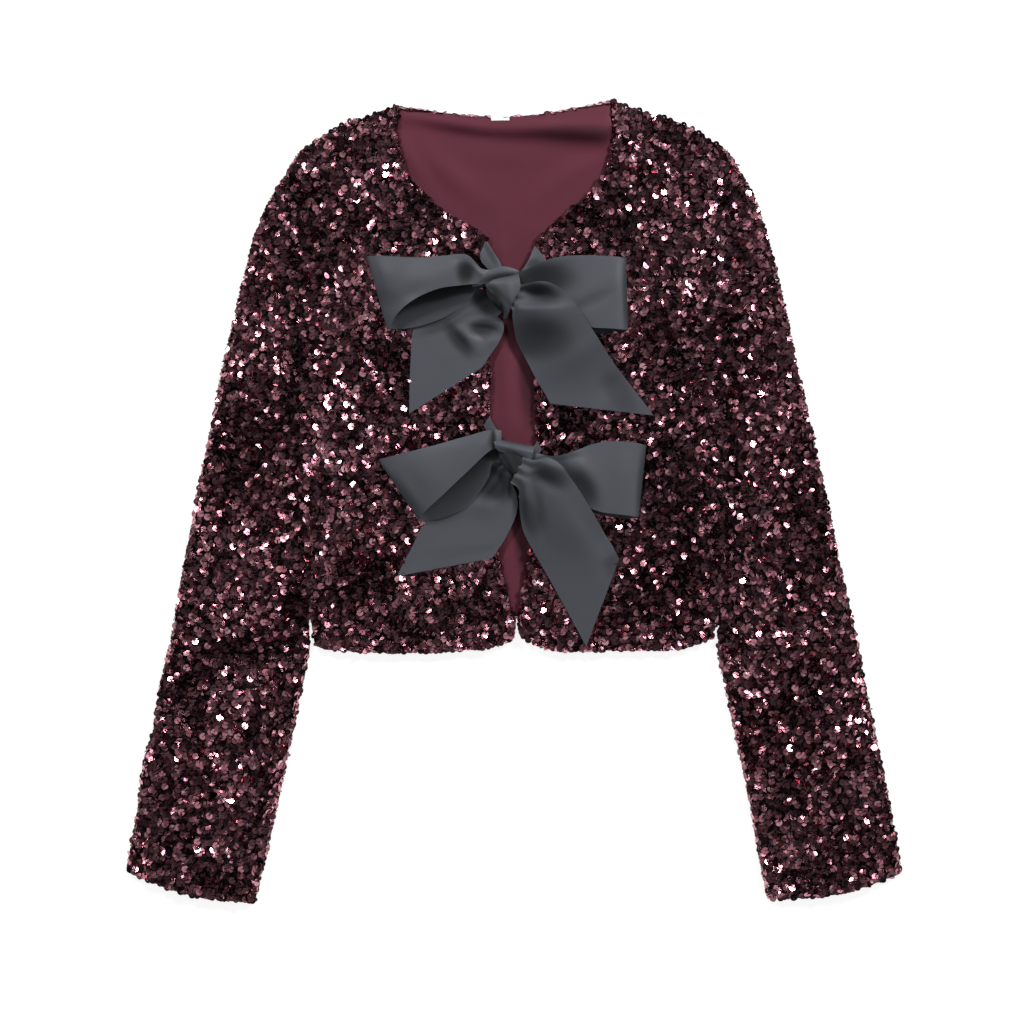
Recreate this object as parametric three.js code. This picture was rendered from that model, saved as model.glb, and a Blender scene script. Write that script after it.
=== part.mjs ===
// A cropped evening jacket laid flat on its back: sequinned cloth, wine lining in the back,
// and two black satin ribbon bows that tie the fronts.
// Millimetres, +X to the right of someone who looks down at the front, +Y to the neck, +Z up.
// Left and right in the names are that viewer's left and right.
import * as THREE from "three";

// Driving sizes
const clothThick = 2; // sequinned net on its backing
const liningThick = 1;
const ribbonThick = 1;
const labelThick = 0.7;
const seamGap = 0.3; // between pieces that are sewn together
const sleeveHollow = 3.2; // room between a sleeve's two layers where it is fullest
const frontAir = 1.6; // how far a front stands off the lining
const tuckHigh = 5.4; // the body over the folded under-arm of a sleeve
const tuckRamp = 30; // width of the slope up to it

// Steps along the edges that the panels share, so that seams meet point to point
const sideSteps = 9;
const armholeSteps = 9;
const shoulderSteps = 5;
const neckSteps = 9;
const backNeckSteps = 10;

// Rows of numbers under named columns
function table(columns, rows) {
  const names = columns.split(" ");
  return rows.map((row) => Object.fromEntries(names.map((name, i) => [name, row[i]])));
}

const smooth = (t) => {
  const k = Math.min(Math.max(t, 0), 1);
  return k * k * (3 - 2 * k);
};

const lerp = THREE.MathUtils.lerp;

// Outlines of the body, each from the first named point to the second
const edges = {
  left: {
    side: table("x y", [[-174, -126], [-179, -88], [-182, -44], [-184, 0], [-185, 52], [-185, 100]]),
    armhole: table("x y", [[-185, 100], [-183, 306]]),
    shoulder: table("x y", [[-183, 306], [-170, 316], [-157, 323], [-147, 329], [-129, 334], [-113, 341], [-101.5, 344]]),
    neck: table("x y", [
      [-101.5, 344], [-105, 327], [-100, 304.5], [-93, 283], [-80, 268], [-60, 249.5], [-41, 239.5], [-24.5, 228.5],
    ]),
    front: table("x y", [
      [-4, -122.5], [-0.7, -117], [0, -106], [-4.5, -93], [-13, -58], [-20, -9], [-23, 61], [-22, 114],
      [-23, 175], [-24.5, 228.5],
    ]),
    hem: table("x y", [[-174, -126], [-156, -130.5], [-135, -131.5], [-102, -132.5], [-49, -130.5], [-24, -128.5], [-4, -122.5]]),
  },
  right: {
    side: table("x y", [[173, -120], [178.5, -88], [182, -44], [184, 0], [184, 52], [183, 100]]),
    armhole: table("x y", [[183, 100], [178, 310]]),
    shoulder: table("x y", [[178, 310], [164, 318.5], [150, 327], [134, 333], [108, 340.5], [94, 346], [86, 349]]),
    neck: table("x y", [
      [86, 349], [87, 328], [85, 304.5], [81, 290], [68, 268], [49, 253], [32.5, 238], [21, 226],
    ]),
    front: table("x y", [
      [8, -120], [5, -114], [4.5, -104], [8, -81], [13, -50], [17.5, -4], [21, 52], [20, 88], [21, 175], [21, 226],
    ]),
    hem: table("x y", [[173, -120], [162, -124], [149, -128], [134, -130], [88, -130.5], [63, -131], [33, -130], [8, -120]]),
  },
  backNeck: table("x y", [
    [-101.5, 344], [-82, 342], [-65, 339], [-34, 336], [-12, 335], [23, 337.5], [54, 343], [86, 349],
  ]),
  liningNeck: table("x y", [
    [-100, 342], [-82, 340.5], [-65, 337.5], [-34, 334.5], [-12, 333.5], [23, 336], [54, 341.5], [84, 347],
  ]),
  liningLeft: table("x y", [[-70, -106], [-74, 20], [-84, 150], [-106, 240], [-108, 292], [-104.5, 312], [-100.5, 332], [-100, 342]]),
  liningRight: table("x y", [[70, -106], [74, 20], [84, 150], [94, 240], [92, 292], [87, 314], [84, 333], [84, 347]]),
};

// Soft ridges of the laid cloth: where each lies, its turn in degrees, half length, half width and height
const frontFolds = table("x y turn long wide high", [
  [-128, 190, 84, 80, 14, 1.4],
  [-148, 20, 66, 60, 15, 1.2],
  [-100, -96, 84, 50, 13, 1.2],
  [124, 205, 96, 80, 14, 1.4],
  [148, 10, 112, 60, 15, 1.2],
  [104, -92, 98, 50, 13, 1.2],
]);
const liningFolds = table("x y turn long wide high", [
  [-50, 329, -9, 52, 6, 3.4],
  [44, 323.5, -3.5, 52, 6.5, 4.6],
  [-52, 282, -38, 40, 12, 1.6],
  [38, 276, 40, 34, 12, 1.6],
  [-8, 150, 92, 80, 6, 1.2],
  [9, 20, 86, 90, 6, 1.2],
]);
const sleeveFolds = table("x y turn long wide high", [
  [-230, 175, 74, 70, 12, 1.7],
  [-252, 20, 68, 70, 13, 1.6],
  [-228, -60, 104, 60, 12, 1.4],
  [-278, -150, 72, 70, 13, 1.6],
  [-262, -255, 88, 50, 12, 1.3],
  [228, 190, 106, 70, 12, 1.7],
  [250, 30, 112, 70, 13, 1.6],
  [226, -70, 76, 60, 12, 1.4],
  [282, -160, 104, 70, 13, 1.6],
  [258, -260, 92, 50, 12, 1.3],
]);

function foldHeight(folds, x, y) {
  let high = 0;
  for (const fold of folds) {
    const turn = THREE.MathUtils.degToRad(fold.turn);
    const along = (x - fold.x) * Math.cos(turn) + (y - fold.y) * Math.sin(turn);
    const across = (y - fold.y) * Math.cos(turn) - (x - fold.x) * Math.sin(turn);
    high += fold.high * Math.exp(-((along / fold.long) ** 2) - (across / fold.wide) ** 2);
  }
  return high;
}

// The body climbs over each sleeve's under-arm, which is folded in below it
function rise(x, y) {
  const tuckEdge = lerp(178, 134, Math.min(Math.max((y + 126) / 168, 0), 1));
  const across = smooth((Math.abs(x) - tuckEdge + tuckRamp) / tuckRamp);
  return tuckHigh * across * smooth((104 - y) / 30) * smooth((y + 124) / 26);
}

// Distance of a point from a row of points
function distanceTo(points, x, y) {
  let nearest = Infinity;
  const line = new THREE.Line3();
  const foot = new THREE.Vector3();
  const here = new THREE.Vector3(x, y, 0);
  for (let i = 1; i < points.length; i += 1) {
    line.start.set(points[i - 1].x, points[i - 1].y, 0);
    line.end.set(points[i].x, points[i].y, 0);
    line.closestPointToPoint(here, true, foot);
    nearest = Math.min(nearest, foot.distanceTo(here));
  }
  return nearest;
}

// Underside of a front: down on the back at its seams, over the lining and softly off it elsewhere
function frontLow(edge, x, y) {
  const seam = [...edge.side, ...edge.armhole, ...edge.shoulder];
  const free = [...edge.hem, ...[...edge.front].reverse(), ...edge.neck];
  const offSeam = smooth(distanceTo(seam, x, y) / 18);
  const inside = smooth(distanceTo(free, x, y) / 40);
  const air = lerp(2 * seamGap, frontAir, inside) + inside * foldHeight(frontFolds, x, y);
  return rise(x, y) + clothThick + seamGap + offSeam * (liningThick + seamGap + air);
}

const backLow = (x, y) => rise(x, y);

// The lining's folds show in the neck and between the fronts, and die out towards their edges
const openShape = [
  ...edges.left.front, ...edges.left.neck, ...[...edges.right.neck].reverse(), ...[...edges.right.front].reverse(),
];

function isOpen(x, y) {
  let inside = false;
  openShape.forEach((a, i) => {
    const b = openShape[(i + 1) % openShape.length];
    const crosses = (a.y > y) !== (b.y > y) && x < a.x + ((y - a.y) / (b.y - a.y)) * (b.x - a.x);
    if (crosses) inside = !inside;
  });
  return inside;
}

function liningLow(x, y) {
  const open = isOpen(x, y) ? smooth(distanceTo(openShape, x, y) / 12) : 0;
  return clothThick + seamGap + open * foldHeight(liningFolds, x, y);
}

function spline(points) {
  const stations = points.map((p) => new THREE.Vector3(p.x, p.y, p.z ?? 0));
  return new THREE.CatmullRomCurve3(stations, false, "centripetal");
}

// One line of points through several outlines, each in its own number of steps
function walk(...legs) {
  const line = [];
  for (const { points, steps } of legs) {
    const stops = spline(points).getSpacedPoints(steps);
    line.push(...(line.length ? stops.slice(1) : stops));
  }
  return line;
}

// A patch of rows between four edge lines: bottom and top run alike, and so do left and right
function patch(bottom, top, left, right) {
  const across = bottom.length - 1;
  const up = left.length - 1;
  return left.map((leftPoint, j) => bottom.map((bottomPoint, i) => {
    const u = i / across;
    const v = j / up;
    const place = (key) => lerp(bottomPoint[key], top[i][key], v) + lerp(leftPoint[key], right[j][key], u)
      - lerp(lerp(bottom[0][key], bottom[across][key], u), lerp(top[0][key], top[across][key], u), v);
    return new THREE.Vector3(place("x"), place("y"), 0);
  }));
}

// A closed wall between two matching grids of points; with ring, each row closes on itself
function wall(outer, inner, ring = false) {
  const cols = outer[0].length;
  const last = outer.length - 1;
  const points = [...outer.flat(), ...inner.flat()];
  const half = points.length / 2;
  const across = ring ? cols : cols - 1;
  const at = (row, col) => row * cols + (col % cols);
  const faces = [];
  const quad = (a, b, c, d) => faces.push([a, b, c], [a, c, d]);
  for (let col = 0; col < across; col += 1) {
    for (let row = 0; row < last; row += 1) {
      const [a, b, c, d] = [at(row, col), at(row, col + 1), at(row + 1, col + 1), at(row + 1, col)];
      quad(a, b, c, d);
      quad(half + d, half + c, half + b, half + a);
    }
    quad(half + at(0, col), half + at(0, col + 1), at(0, col + 1), at(0, col));
    quad(at(last, col), at(last, col + 1), half + at(last, col + 1), half + at(last, col));
  }
  for (let row = 0; row < last && !ring; row += 1) {
    const end = cols - 1;
    quad(at(row, 0), at(row + 1, 0), half + at(row + 1, 0), half + at(row, 0));
    quad(half + at(row, end), half + at(row + 1, end), at(row + 1, end), at(row, end));
  }
  return closedShape(points, faces);
}

// Faces are turned round where the rows ran the other way, so that they always point out
function closedShape(points, faces) {
  let volume = 0;
  for (const [a, b, c] of faces) {
    volume += points[a].dot(new THREE.Vector3().crossVectors(points[b], points[c]));
  }
  const facing = volume > 0 ? faces : faces.map(([a, b, c]) => [c, b, a]);
  const shape = new THREE.BufferGeometry().setFromPoints(points);
  shape.setIndex(facing.flat());
  shape.computeVertexNormals();
  return shape;
}

// A laid panel of even thickness whose underside follows a height
function panel(rows, low, thick) {
  const under = rows.map((row) => row.map((p) => new THREE.Vector3(p.x, p.y, low(p.x, p.y))));
  const over = under.map((row) => row.map((p) => new THREE.Vector3(p.x, p.y, p.z + thick)));
  return wall(over, under);
}

const jacket = new THREE.Group();

const finishes = {
  sequins: { color: "#4a1c2b", roughness: 0.35, metalness: 0.55 },
  lining: { color: "#6a3240", roughness: 0.7, metalness: 0 },
  ribbon: { color: "#33363a", roughness: 0.45, metalness: 0 },
  label: { color: "#f2f0ee", roughness: 0.8, metalness: 0 },
};

function add(name, shape, finish) {
  const mesh = new THREE.Mesh(shape, new THREE.MeshStandardMaterial(finishes[finish]));
  mesh.name = name;
  jacket.add(mesh);
}

// Body panels
function seamLine(edge) {
  return walk({ points: edge.side, steps: sideSteps }, { points: edge.armhole, steps: armholeSteps });
}

function backRows() {
  const hem = table("x y", [
    [-174, -126], [-150, -127], [-100, -116], [-50, -106], [0, -103], [50, -105], [100, -114], [150, -124], [173, -120],
  ]);
  const across = 2 * shoulderSteps + backNeckSteps;
  const top = walk(
    { points: edges.left.shoulder, steps: shoulderSteps },
    { points: edges.backNeck, steps: backNeckSteps },
    { points: [...edges.right.shoulder].reverse(), steps: shoulderSteps },
  );
  return patch(walk({ points: hem, steps: across }), top, seamLine(edges.left), seamLine(edges.right));
}

function frontRows(edge) {
  const top = walk({ points: edge.shoulder, steps: shoulderSteps }, { points: edge.neck, steps: neckSteps });
  const hem = walk({ points: edge.hem, steps: shoulderSteps + neckSteps });
  const opening = walk({ points: edge.front, steps: sideSteps + armholeSteps });
  return patch(hem, top, seamLine(edge), opening);
}

function liningRows() {
  const hem = table("x y", [[-70, -106], [-35, -102], [0, -100.5], [35, -102], [70, -106]]);
  return patch(
    walk({ points: hem, steps: 12 }),
    walk({ points: edges.liningNeck, steps: 12 }),
    walk({ points: edges.liningLeft, steps: 18 }),
    walk({ points: edges.liningRight, steps: 18 }),
  );
}

add("back", panel(backRows(), backLow, clothThick), "sequins");
add("back_lining", panel(liningRows(), liningLow, liningThick), "lining");
for (const hand of ["left", "right"]) {
  const low = (x, y) => frontLow(edges[hand], x, y);
  add(`front_${hand}`, panel(frontRows(edges[hand]), low, clothThick), "sequins");
}

// A sleeve is a tube of cloth pressed flat. Each row crosses it, from the outer fold to the
// under-arm fold, which first turns in below the body and comes out again above the hem.
const sleeves = {
  left: table("outX outY inX inY", [
    [-183.5, 306.3, -185.5, 100.2],
    [-191, 296, -188, 91],
    [-199, 282, -188.5, 80],
    [-212, 261.5, -188, 66],
    [-226, 226.5, -183, 50],
    [-235.5, 190, -170, 34],
    [-245, 151.5, -155, 18],
    [-254, 113, -147, -3],
    [-264, 61, -154, -32],
    [-274, 15, -162, -60],
    [-282, -29, -172, -83],
    [-290.5, -72.5, -179, -107],
    [-299, -121.5, -181, -136],
    [-309, -164.5, -188, -172],
    [-315, -202, -194.5, -203],
    [-323, -231, -201, -234],
    [-329, -275, -210, -276],
    [-334, -301, -219, -318],
    [-337.5, -324, -227.5, -350.5],
  ]),
  right: table("outX outY inX inY", [
    [178.5, 310.3, 183.5, 100.2],
    [190, 297, 187, 91],
    [199, 282, 187.5, 80],
    [207.5, 267, 187, 66],
    [222.5, 220, 182, 50],
    [234, 176, 169, 34],
    [244, 128, 155, 18],
    [250, 102, 147, -3],
    [258, 66, 154, -32],
    [269, 15, 162, -60],
    [277.5, -25, 172, -83],
    [287.5, -71, 178.6, -106],
    [297.5, -116, 180, -136],
    [306, -163, 187, -172],
    [317, -216, 197, -217],
    [326, -258, 206, -259],
    [331, -285, 211, -288],
    [335, -306, 216.5, -318],
    [337.5, -326, 222.5, -348],
  ]),
};
const sleeveRows = 22; // rows between the armhole and the cuff
const sleeveAcross = 7; // steps over the flat of each layer
const foldSteps = 2; // steps round each folded edge
const foldRound = clothThick + seamGap / 2; // outer radius of a folded edge
const cuffBow = 7; // the cuff's edge curves out by this much in its middle

// One ring of a sleeve at the given distance inside its outer face
function sleeveRing(out, into, along, inset) {
  const across = new THREE.Vector3().subVectors(into, out);
  const width = across.length();
  across.normalize();
  const bow = new THREE.Vector3(across.y, -across.x, 0).multiplyScalar(Math.sign(across.x));
  const radius = foldRound - inset;
  const cuff = smooth((along - 0.86) / 0.14);
  const place = (c, z) => {
    const middle = Math.sin(Math.PI * c / width);
    return out.clone().addScaledVector(across, c).addScaledVector(bow, cuff * cuffBow * middle).setZ(z);
  };
  const swell = (c) => {
    const p = place(c, 0);
    const flatUnder = smooth((Math.abs(p.x) - 187) / 16);
    const middle = Math.sin(Math.PI * Math.min(Math.max(c / width, 0), 1));
    const room = Math.min(sleeveHollow + foldHeight(sleeveFolds, p.x, p.y), sleeveHollow + 0.5);
    return smooth(along / 0.16) * flatUnder * Math.sqrt(middle) * room;
  };
  const ring = [];
  for (let i = 0; i <= sleeveAcross; i += 1) {
    const c = lerp(foldRound, width - foldRound, i / sleeveAcross);
    ring.push(place(c, foldRound - radius));
  }
  for (let i = 1; i < foldSteps; i += 1) {
    const turn = lerp(-Math.PI / 2, Math.PI / 2, i / foldSteps);
    ring.push(place(width - foldRound + radius * Math.cos(turn), foldRound + radius * Math.sin(turn)));
  }
  for (let i = sleeveAcross; i >= 0; i -= 1) {
    const c = lerp(foldRound, width - foldRound, i / sleeveAcross);
    ring.push(place(c, foldRound + radius + swell(c)));
  }
  for (let i = 1; i < foldSteps; i += 1) {
    const turn = lerp(Math.PI / 2, Math.PI * 1.5, i / foldSteps);
    ring.push(place(foldRound + radius * Math.cos(turn), foldRound + radius * Math.sin(turn)));
  }
  return ring;
}

function sleeve(rows) {
  const outLine = spline(rows.map((row) => ({ x: row.outX, y: row.outY })));
  const inLine = spline(rows.map((row) => ({ x: row.inX, y: row.inY })));
  const rings = (inset) => Array.from({ length: sleeveRows + 1 }, (_, i) => {
    const along = i / sleeveRows;
    return sleeveRing(outLine.getPoint(along), inLine.getPoint(along), along, inset);
  });
  return wall(rings(0), rings(clothThick), true);
}

for (const hand of ["left", "right"]) {
  add(`sleeve_${hand}`, sleeve(sleeves[hand]), "sequins");
}

// Blank label at the middle of the back neck
const label = { x: -12, y: 333.4, wide: 16, long: 5 };
const labelShape = new THREE.BoxGeometry(label.wide, label.long, labelThick);
const labelLow = liningThick + seamGap + Math.max(
  ...[-1, 0, 1].flatMap((i) => [-1, 0, 1].map((j) => (
    liningLow(label.x + i * label.wide, label.y + j * label.long)))),
);
labelShape.translate(label.x, label.y, labelLow + labelThick / 2);
add("neck_label", labelShape, "label");

// Ribbon: each row holds the two edges of the ribbon, upper and lower, and how far its middle
// stands proud. The rows of a loop run out on the upper layer, turn, and come back below it.
const ribbonAcross = 6;
const columns = "topX topY topZ lowX lowY lowZ crown";
const ribbons = {
  upper_loop_left: table(columns, [
    [-28.5, 201, 16, -28.8, 188, 16.5, 1.5],
    [-41, 212.5, 15.5, -45.5, 186, 19, 2],
    [-60, 212, 14.5, -65, 183, 20, 2],
    [-82, 210.5, 13, -86, 174, 18.5, 2],
    [-104, 211.5, 12, -100, 163, 15.5, 1.5],
    [-119, 212.5, 11.9, -106.5, 154, 13.2, 1],
    [-128.3, 212.2, 10.5, -110.3, 149.5, 11.4, 0.6],
    [-121, 211.5, 9.2, -105, 149, 9.8, 0],
    [-106, 211, 9.7, -94, 149.3, 10.8, 0],
    [-90, 210.5, 10.8, -80, 152, 11.6, 0],
    [-74, 209.5, 11.4, -65, 157, 12, 0],
    [-58, 207, 11.6, -51.5, 164, 12, 0],
    [-42, 203, 11.8, -40, 173, 12, 0],
    [-29.5, 196, 12, -29.5, 185, 12, 0.4],
  ]),
  upper_loop_right: table(columns, [
    [5.6, 198.5, 15, 6.2, 186, 14.6, 0.8],
    [15, 202, 14.4, 14, 179, 14.2, 1],
    [27, 207.3, 14.2, 27, 170.5, 13.8, 1.4],
    [41, 211, 13.8, 45, 160.5, 13.4, 1.6],
    [59, 212.6, 13.4, 66, 150.5, 13, 1.6],
    [79.5, 212.2, 12.8, 84, 149.2, 12.6, 1.2],
    [92, 211.4, 12, 93, 148.5, 12, 0.8],
    [97.6, 210.4, 9.7, 99, 148, 9.7, 0.4],
    [92, 209.6, 8.2, 92, 146, 8.2, 0],
    [76, 209.6, 8.3, 74, 145.6, 8.3, 0],
    [56, 209, 9.1, 54, 149, 8.9, 0],
    [36, 205, 9.9, 36, 161, 9.5, 0],
    [18, 199.5, 10.7, 18, 175, 10.1, 0],
    [6.2, 196, 12, 6.8, 184.5, 11.6, 0.2],
  ]),
  upper_tail_left: table(columns, [
    [-29, 184, 8.1, -14, 159.5, 8.3, 0],
    [-45.5, 185, 7.9, -9.5, 155, 8.9, 0.3],
    [-67, 180, 7.8, -9, 148, 9.3, 0.5],
    [-82, 167, 7.7, -11.5, 141, 9.1, 0.6],
    [-88, 148.5, 7.9, -15, 134.5, 8.9, 0.6],
    [-90, 124, 8.3, -20, 127.5, 8.7, 0.8],
    [-91, 99.5, 8.5, -24, 121.5, 8.5, 0.4],
    [-91.4, 75.3, 9.3, -28, 115.5, 8.7, 0.2],
  ]),
  upper_tail_right: table(columns, [
    [8, 187, 20.4, -1.6, 165.5, 16.5, 1.5],
    [27, 189.2, 20.2, -1.4, 160, 14, 2.5],
    [41, 183, 19.2, -0.4, 152.5, 12, 3],
    [55, 168, 17.4, 2.6, 138, 10.8, 2.5],
    [70, 145.3, 15, 12.3, 119, 9.6, 1.8],
    [86.5, 120, 10.8, 22, 100.5, 9, 1.2],
    [99.8, 102.4, 10.6, 28, 91, 9, 0.8],
    [121.6, 73.5, 13.4, 31.5, 84, 9.2, 0.4],
  ]),
  upper_tie_left: table(columns, [
    [-24, 226.5, 4.9, -23, 208, 4.9, 0.2],
    [-18.5, 217, 6.6, -21, 205, 6.6, 0.6],
    [-12.5, 205.5, 10.4, -20, 201.5, 10, 0.4],
    [-9.5, 199.8, 12.4, -19, 198.7, 12, 0],
  ]),
  upper_tie_right: table(columns, [
    [20.4, 222, 4.9, 20.4, 206, 4.9, 0.2],
    [15, 211, 6.4, 16.5, 201, 6.2, 0.5],
    [9.5, 203, 8.6, 10, 195.5, 8.2, 0.3],
    [5.2, 198, 9.4, 5.6, 192, 9, 0],
  ]),
  lower_loop_left: table(columns, [
    [-18.6, 61, 15, -18.6, 44, 16.5, 1],
    [-43, 54.7, 14.4, -42, 23, 19.5, 2],
    [-67, 48, 13.4, -62, 4, 19, 2],
    [-92, 41.6, 13, -74, -7, 16, 1.6],
    [-109, 37.4, 13, -79.5, -13, 13.4, 1],
    [-118, 35, 12.4, -82.5, -18.4, 11.4, 0.6],
    [-110, 35.5, 11, -76, -18.4, 9.6, 0],
    [-97, 38, 10.6, -65.5, -17, 10.6, 0],
    [-82, 42, 11, -51, -11.5, 11.6, 0],
    [-66, 46, 11.4, -40, -4.5, 11.8, 0],
    [-49, 49, 11.6, -31, 6, 11.9, 0],
    [-33, 51, 11.8, -22, 20, 12, 0.2],
    [-19.5, 50, 12.2, -18.8, 31, 12.2, 0.4],
  ]),
  lower_loop_right: table(columns, [
    [18.4, 41, 15, 18.8, 29, 14.8, 0.8],
    [30, 38.2, 14.4, 32, 18, 14.2, 1],
    [43, 39.4, 14.2, 47, 5.5, 13.8, 1.4],
    [55, 43.3, 13.8, 62, -5, 13.4, 1.6],
    [68.5, 48.6, 13.4, 76, -10.5, 13, 1.6],
    [84, 51, 12.8, 91, -12.6, 12.6, 1.2],
    [102, 50.2, 13, 102, -14, 12, 0.8],
    [115, 47.6, 11.9, 108.4, -15, 10.1, 0.4],
    [108, 47.4, 10.3, 101, -16, 8.6, 0],
    [92, 48.6, 9.3, 86, -15, 8.7, 0],
    [70, 46.5, 9.5, 64, -9, 9.3, 0],
    [48, 41, 10.3, 44, 4, 9.9, 0],
    [30, 37.5, 11.1, 29, 17, 10.5, 0],
    [18.8, 38.5, 12, 19.2, 28, 11.6, 0.2],
  ]),
  lower_tail_left: table(columns, [
    [-18.8, 28, 8.5, -3.5, 14.5, 8.7, 0],
    [-32, 20, 8.3, 1.5, 6, 9.3, 0.3],
    [-51.5, 5, 8.2, 3, -5, 9.7, 0.5],
    [-68, -9.5, 8.1, 1, -15.5, 9.5, 0.6],
    [-80.5, -25, 8.3, -4.5, -27.5, 9.3, 0.6],
    [-90, -43, 8.7, -10.5, -38.5, 9.1, 0.8],
    [-96.3, -55, 8.9, -15, -44.6, 8.9, 0.4],
    [-101.8, -66.5, 9.5, -19, -50.8, 9.1, 0.2],
  ]),
  lower_tail_right: table(columns, [
    [17.5, 34.5, 20, 7.9, 12, 16.5, 1.5],
    [28.5, 36.8, 20.6, 5.7, 5, 14, 2.5],
    [38.5, 32, 19.6, 4.8, -6.5, 12, 3],
    [53.5, 13, 17.8, 8, -26.5, 10.8, 2.5],
    [67.5, -9, 15, 18, -46.5, 9.6, 1.8],
    [79.5, -30, 10.4, 30, -67.5, 9, 1.2],
    [87.5, -43, 9.4, 44.5, -93.5, 9, 0.8],
    [91.6, -51.6, 9.6, 63, -127.8, 9.4, 0.4],
  ]),
  lower_tie_left: table(columns, [
    [-22.3, 73, 4.9, -22.3, 60, 4.9, 0.2],
    [-18, 64.5, 6.6, -20.4, 57.5, 6.6, 0.4],
    [-13, 58, 9.8, -17, 55.8, 9.6, 0.2],
    [-10, 55.2, 11.2, -15, 54.9, 10.8, 0],
  ]),
  lower_tie_right: table(columns, [
    [20, 51, 4.9, 19.8, 40, 4.9, 0.2],
    [19, 48.5, 6.4, 19, 41, 6.2, 0.2],
    [18, 46.5, 8, 18.2, 42, 7.8, 0],
  ]),
};

// Gathers press the ribbon into small pleats where it enters the knot
const pleats = { waves: 3, high: 0.9, length: 3 };

function ribbon(rows, between, pleated) {
  const top = spline(rows.map((row) => ({ x: row.topX, y: row.topY, z: row.topZ })));
  const low = spline(rows.map((row) => ({ x: row.lowX, y: row.lowY, z: row.lowZ })));
  const steps = (rows.length - 1) * between;
  const middle = Array.from({ length: steps + 1 }, (_, j) => {
    const row = j / between;
    const from = rows[Math.floor(row)];
    const crown = lerp(from.crown, rows[Math.min(Math.floor(row) + 1, rows.length - 1)].crown, row % 1);
    const start = top.getPoint(j / steps);
    const end = low.getPoint(j / steps);
    const nearKnot = pleated ? Math.max(1 - row / pleats.length, 0) : 0;
    return Array.from({ length: ribbonAcross + 1 }, (__, i) => {
      const w = i / ribbonAcross;
      const p = start.clone().lerp(end, w);
      p.z += crown * Math.sin(Math.PI * w) + pleats.high * nearKnot * Math.sin(Math.PI * 2 * pleats.waves * w);
      return p;
    });
  });
  return wall(offset(middle, ribbonThick / 2), offset(middle, -ribbonThick / 2));
}

// The grid moved along its own normals
function offset(grid, distance) {
  const last = grid.length - 1;
  const end = grid[0].length - 1;
  return grid.map((row, j) => row.map((p, i) => {
    const along = new THREE.Vector3().subVectors(grid[Math.min(j + 1, last)][i], grid[Math.max(j - 1, 0)][i]);
    const across = new THREE.Vector3().subVectors(row[Math.min(i + 1, end)], row[Math.max(i - 1, 0)]);
    return p.clone().addScaledVector(along.cross(across).normalize(), distance);
  }));
}

for (const [name, rows] of Object.entries(ribbons)) {
  add(name, ribbon(rows, name.includes("tie") ? 1 : 2, name.includes("tail")), "ribbon");
}

// A knot is a rounded wad of wrapped ribbon: an egg shape with the wrap's soft grooves
const knots = {
  upper: { x: -12.5, y: 181, z: 16, halfX: 15.9, halfY: 18.6, halfZ: 7.4, lean: 0.22 },
  lower: { x: -0.1, y: 35, z: 15.6, halfX: 17.3, halfY: 19.2, halfZ: 7, lean: 0.34 },
};
const knotGroove = 0.05;

function knot({ x, y, z, halfX, halfY, halfZ, lean }) {
  const ball = new THREE.SphereGeometry(1, 18, 12);
  const spots = ball.getAttribute("position");
  const points = [];
  const whole = new Map();
  const same = [];
  for (let i = 0; i < spots.count; i += 1) {
    const unit = new THREE.Vector3().fromBufferAttribute(spots, i);
    const key = unit.toArray().map((value) => value.toFixed(5)).join();
    if (!whole.has(key)) {
      whole.set(key, points.length);
      const taper = 1 + lean * unit.y;
      const groove = 1 - knotGroove * Math.cos(unit.x * 9 + unit.y * 3);
      points.push(new THREE.Vector3(
        x + halfX * unit.x * taper * groove - lean * halfX * unit.y * 0.5,
        y + halfY * unit.y * groove,
        z + halfZ * unit.z * groove,
      ));
    }
    same.push(whole.get(key));
  }
  const index = ball.getIndex().array;
  const faces = [];
  for (let i = 0; i < index.length; i += 3) {
    const [a, b, c] = [same[index[i]], same[index[i + 1]], same[index[i + 2]]];
    if (a !== b && b !== c && a !== c) faces.push([a, b, c]);
  }
  return closedShape(points, faces);
}

for (const [name, size] of Object.entries(knots)) {
  add(`${name}_knot`, knot(size), "ribbon");
}

export default jacket;
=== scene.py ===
# Cropped evening jacket laid flat on its back: sequinned cloth, wine lining, two satin bows.
# Tables are in millimetres, as a cutter would write them; a mesh is made in metres.
import math
import bpy
import bmesh
import numpy as np
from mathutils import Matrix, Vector
from mathutils.bvhtree import BVHTree


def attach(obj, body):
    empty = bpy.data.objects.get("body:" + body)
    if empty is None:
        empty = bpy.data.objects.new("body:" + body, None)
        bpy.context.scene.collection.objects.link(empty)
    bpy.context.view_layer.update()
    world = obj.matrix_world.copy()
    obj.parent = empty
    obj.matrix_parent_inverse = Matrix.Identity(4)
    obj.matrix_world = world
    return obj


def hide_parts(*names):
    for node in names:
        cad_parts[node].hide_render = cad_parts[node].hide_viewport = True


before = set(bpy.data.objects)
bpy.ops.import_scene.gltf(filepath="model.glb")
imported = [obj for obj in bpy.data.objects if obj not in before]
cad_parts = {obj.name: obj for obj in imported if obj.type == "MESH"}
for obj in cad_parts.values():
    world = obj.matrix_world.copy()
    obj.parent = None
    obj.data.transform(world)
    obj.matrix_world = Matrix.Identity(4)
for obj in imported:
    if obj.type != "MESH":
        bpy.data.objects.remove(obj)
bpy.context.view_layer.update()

mm = 0.001
print("jacket: frame loaded")


# Small helpers on numbers and arrays
def smooth(t):
    k = np.clip(t, 0, 1)
    return k * k * (3 - 2 * k)


def lerp(a, b, t):
    return a + (b - a) * t


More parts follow.
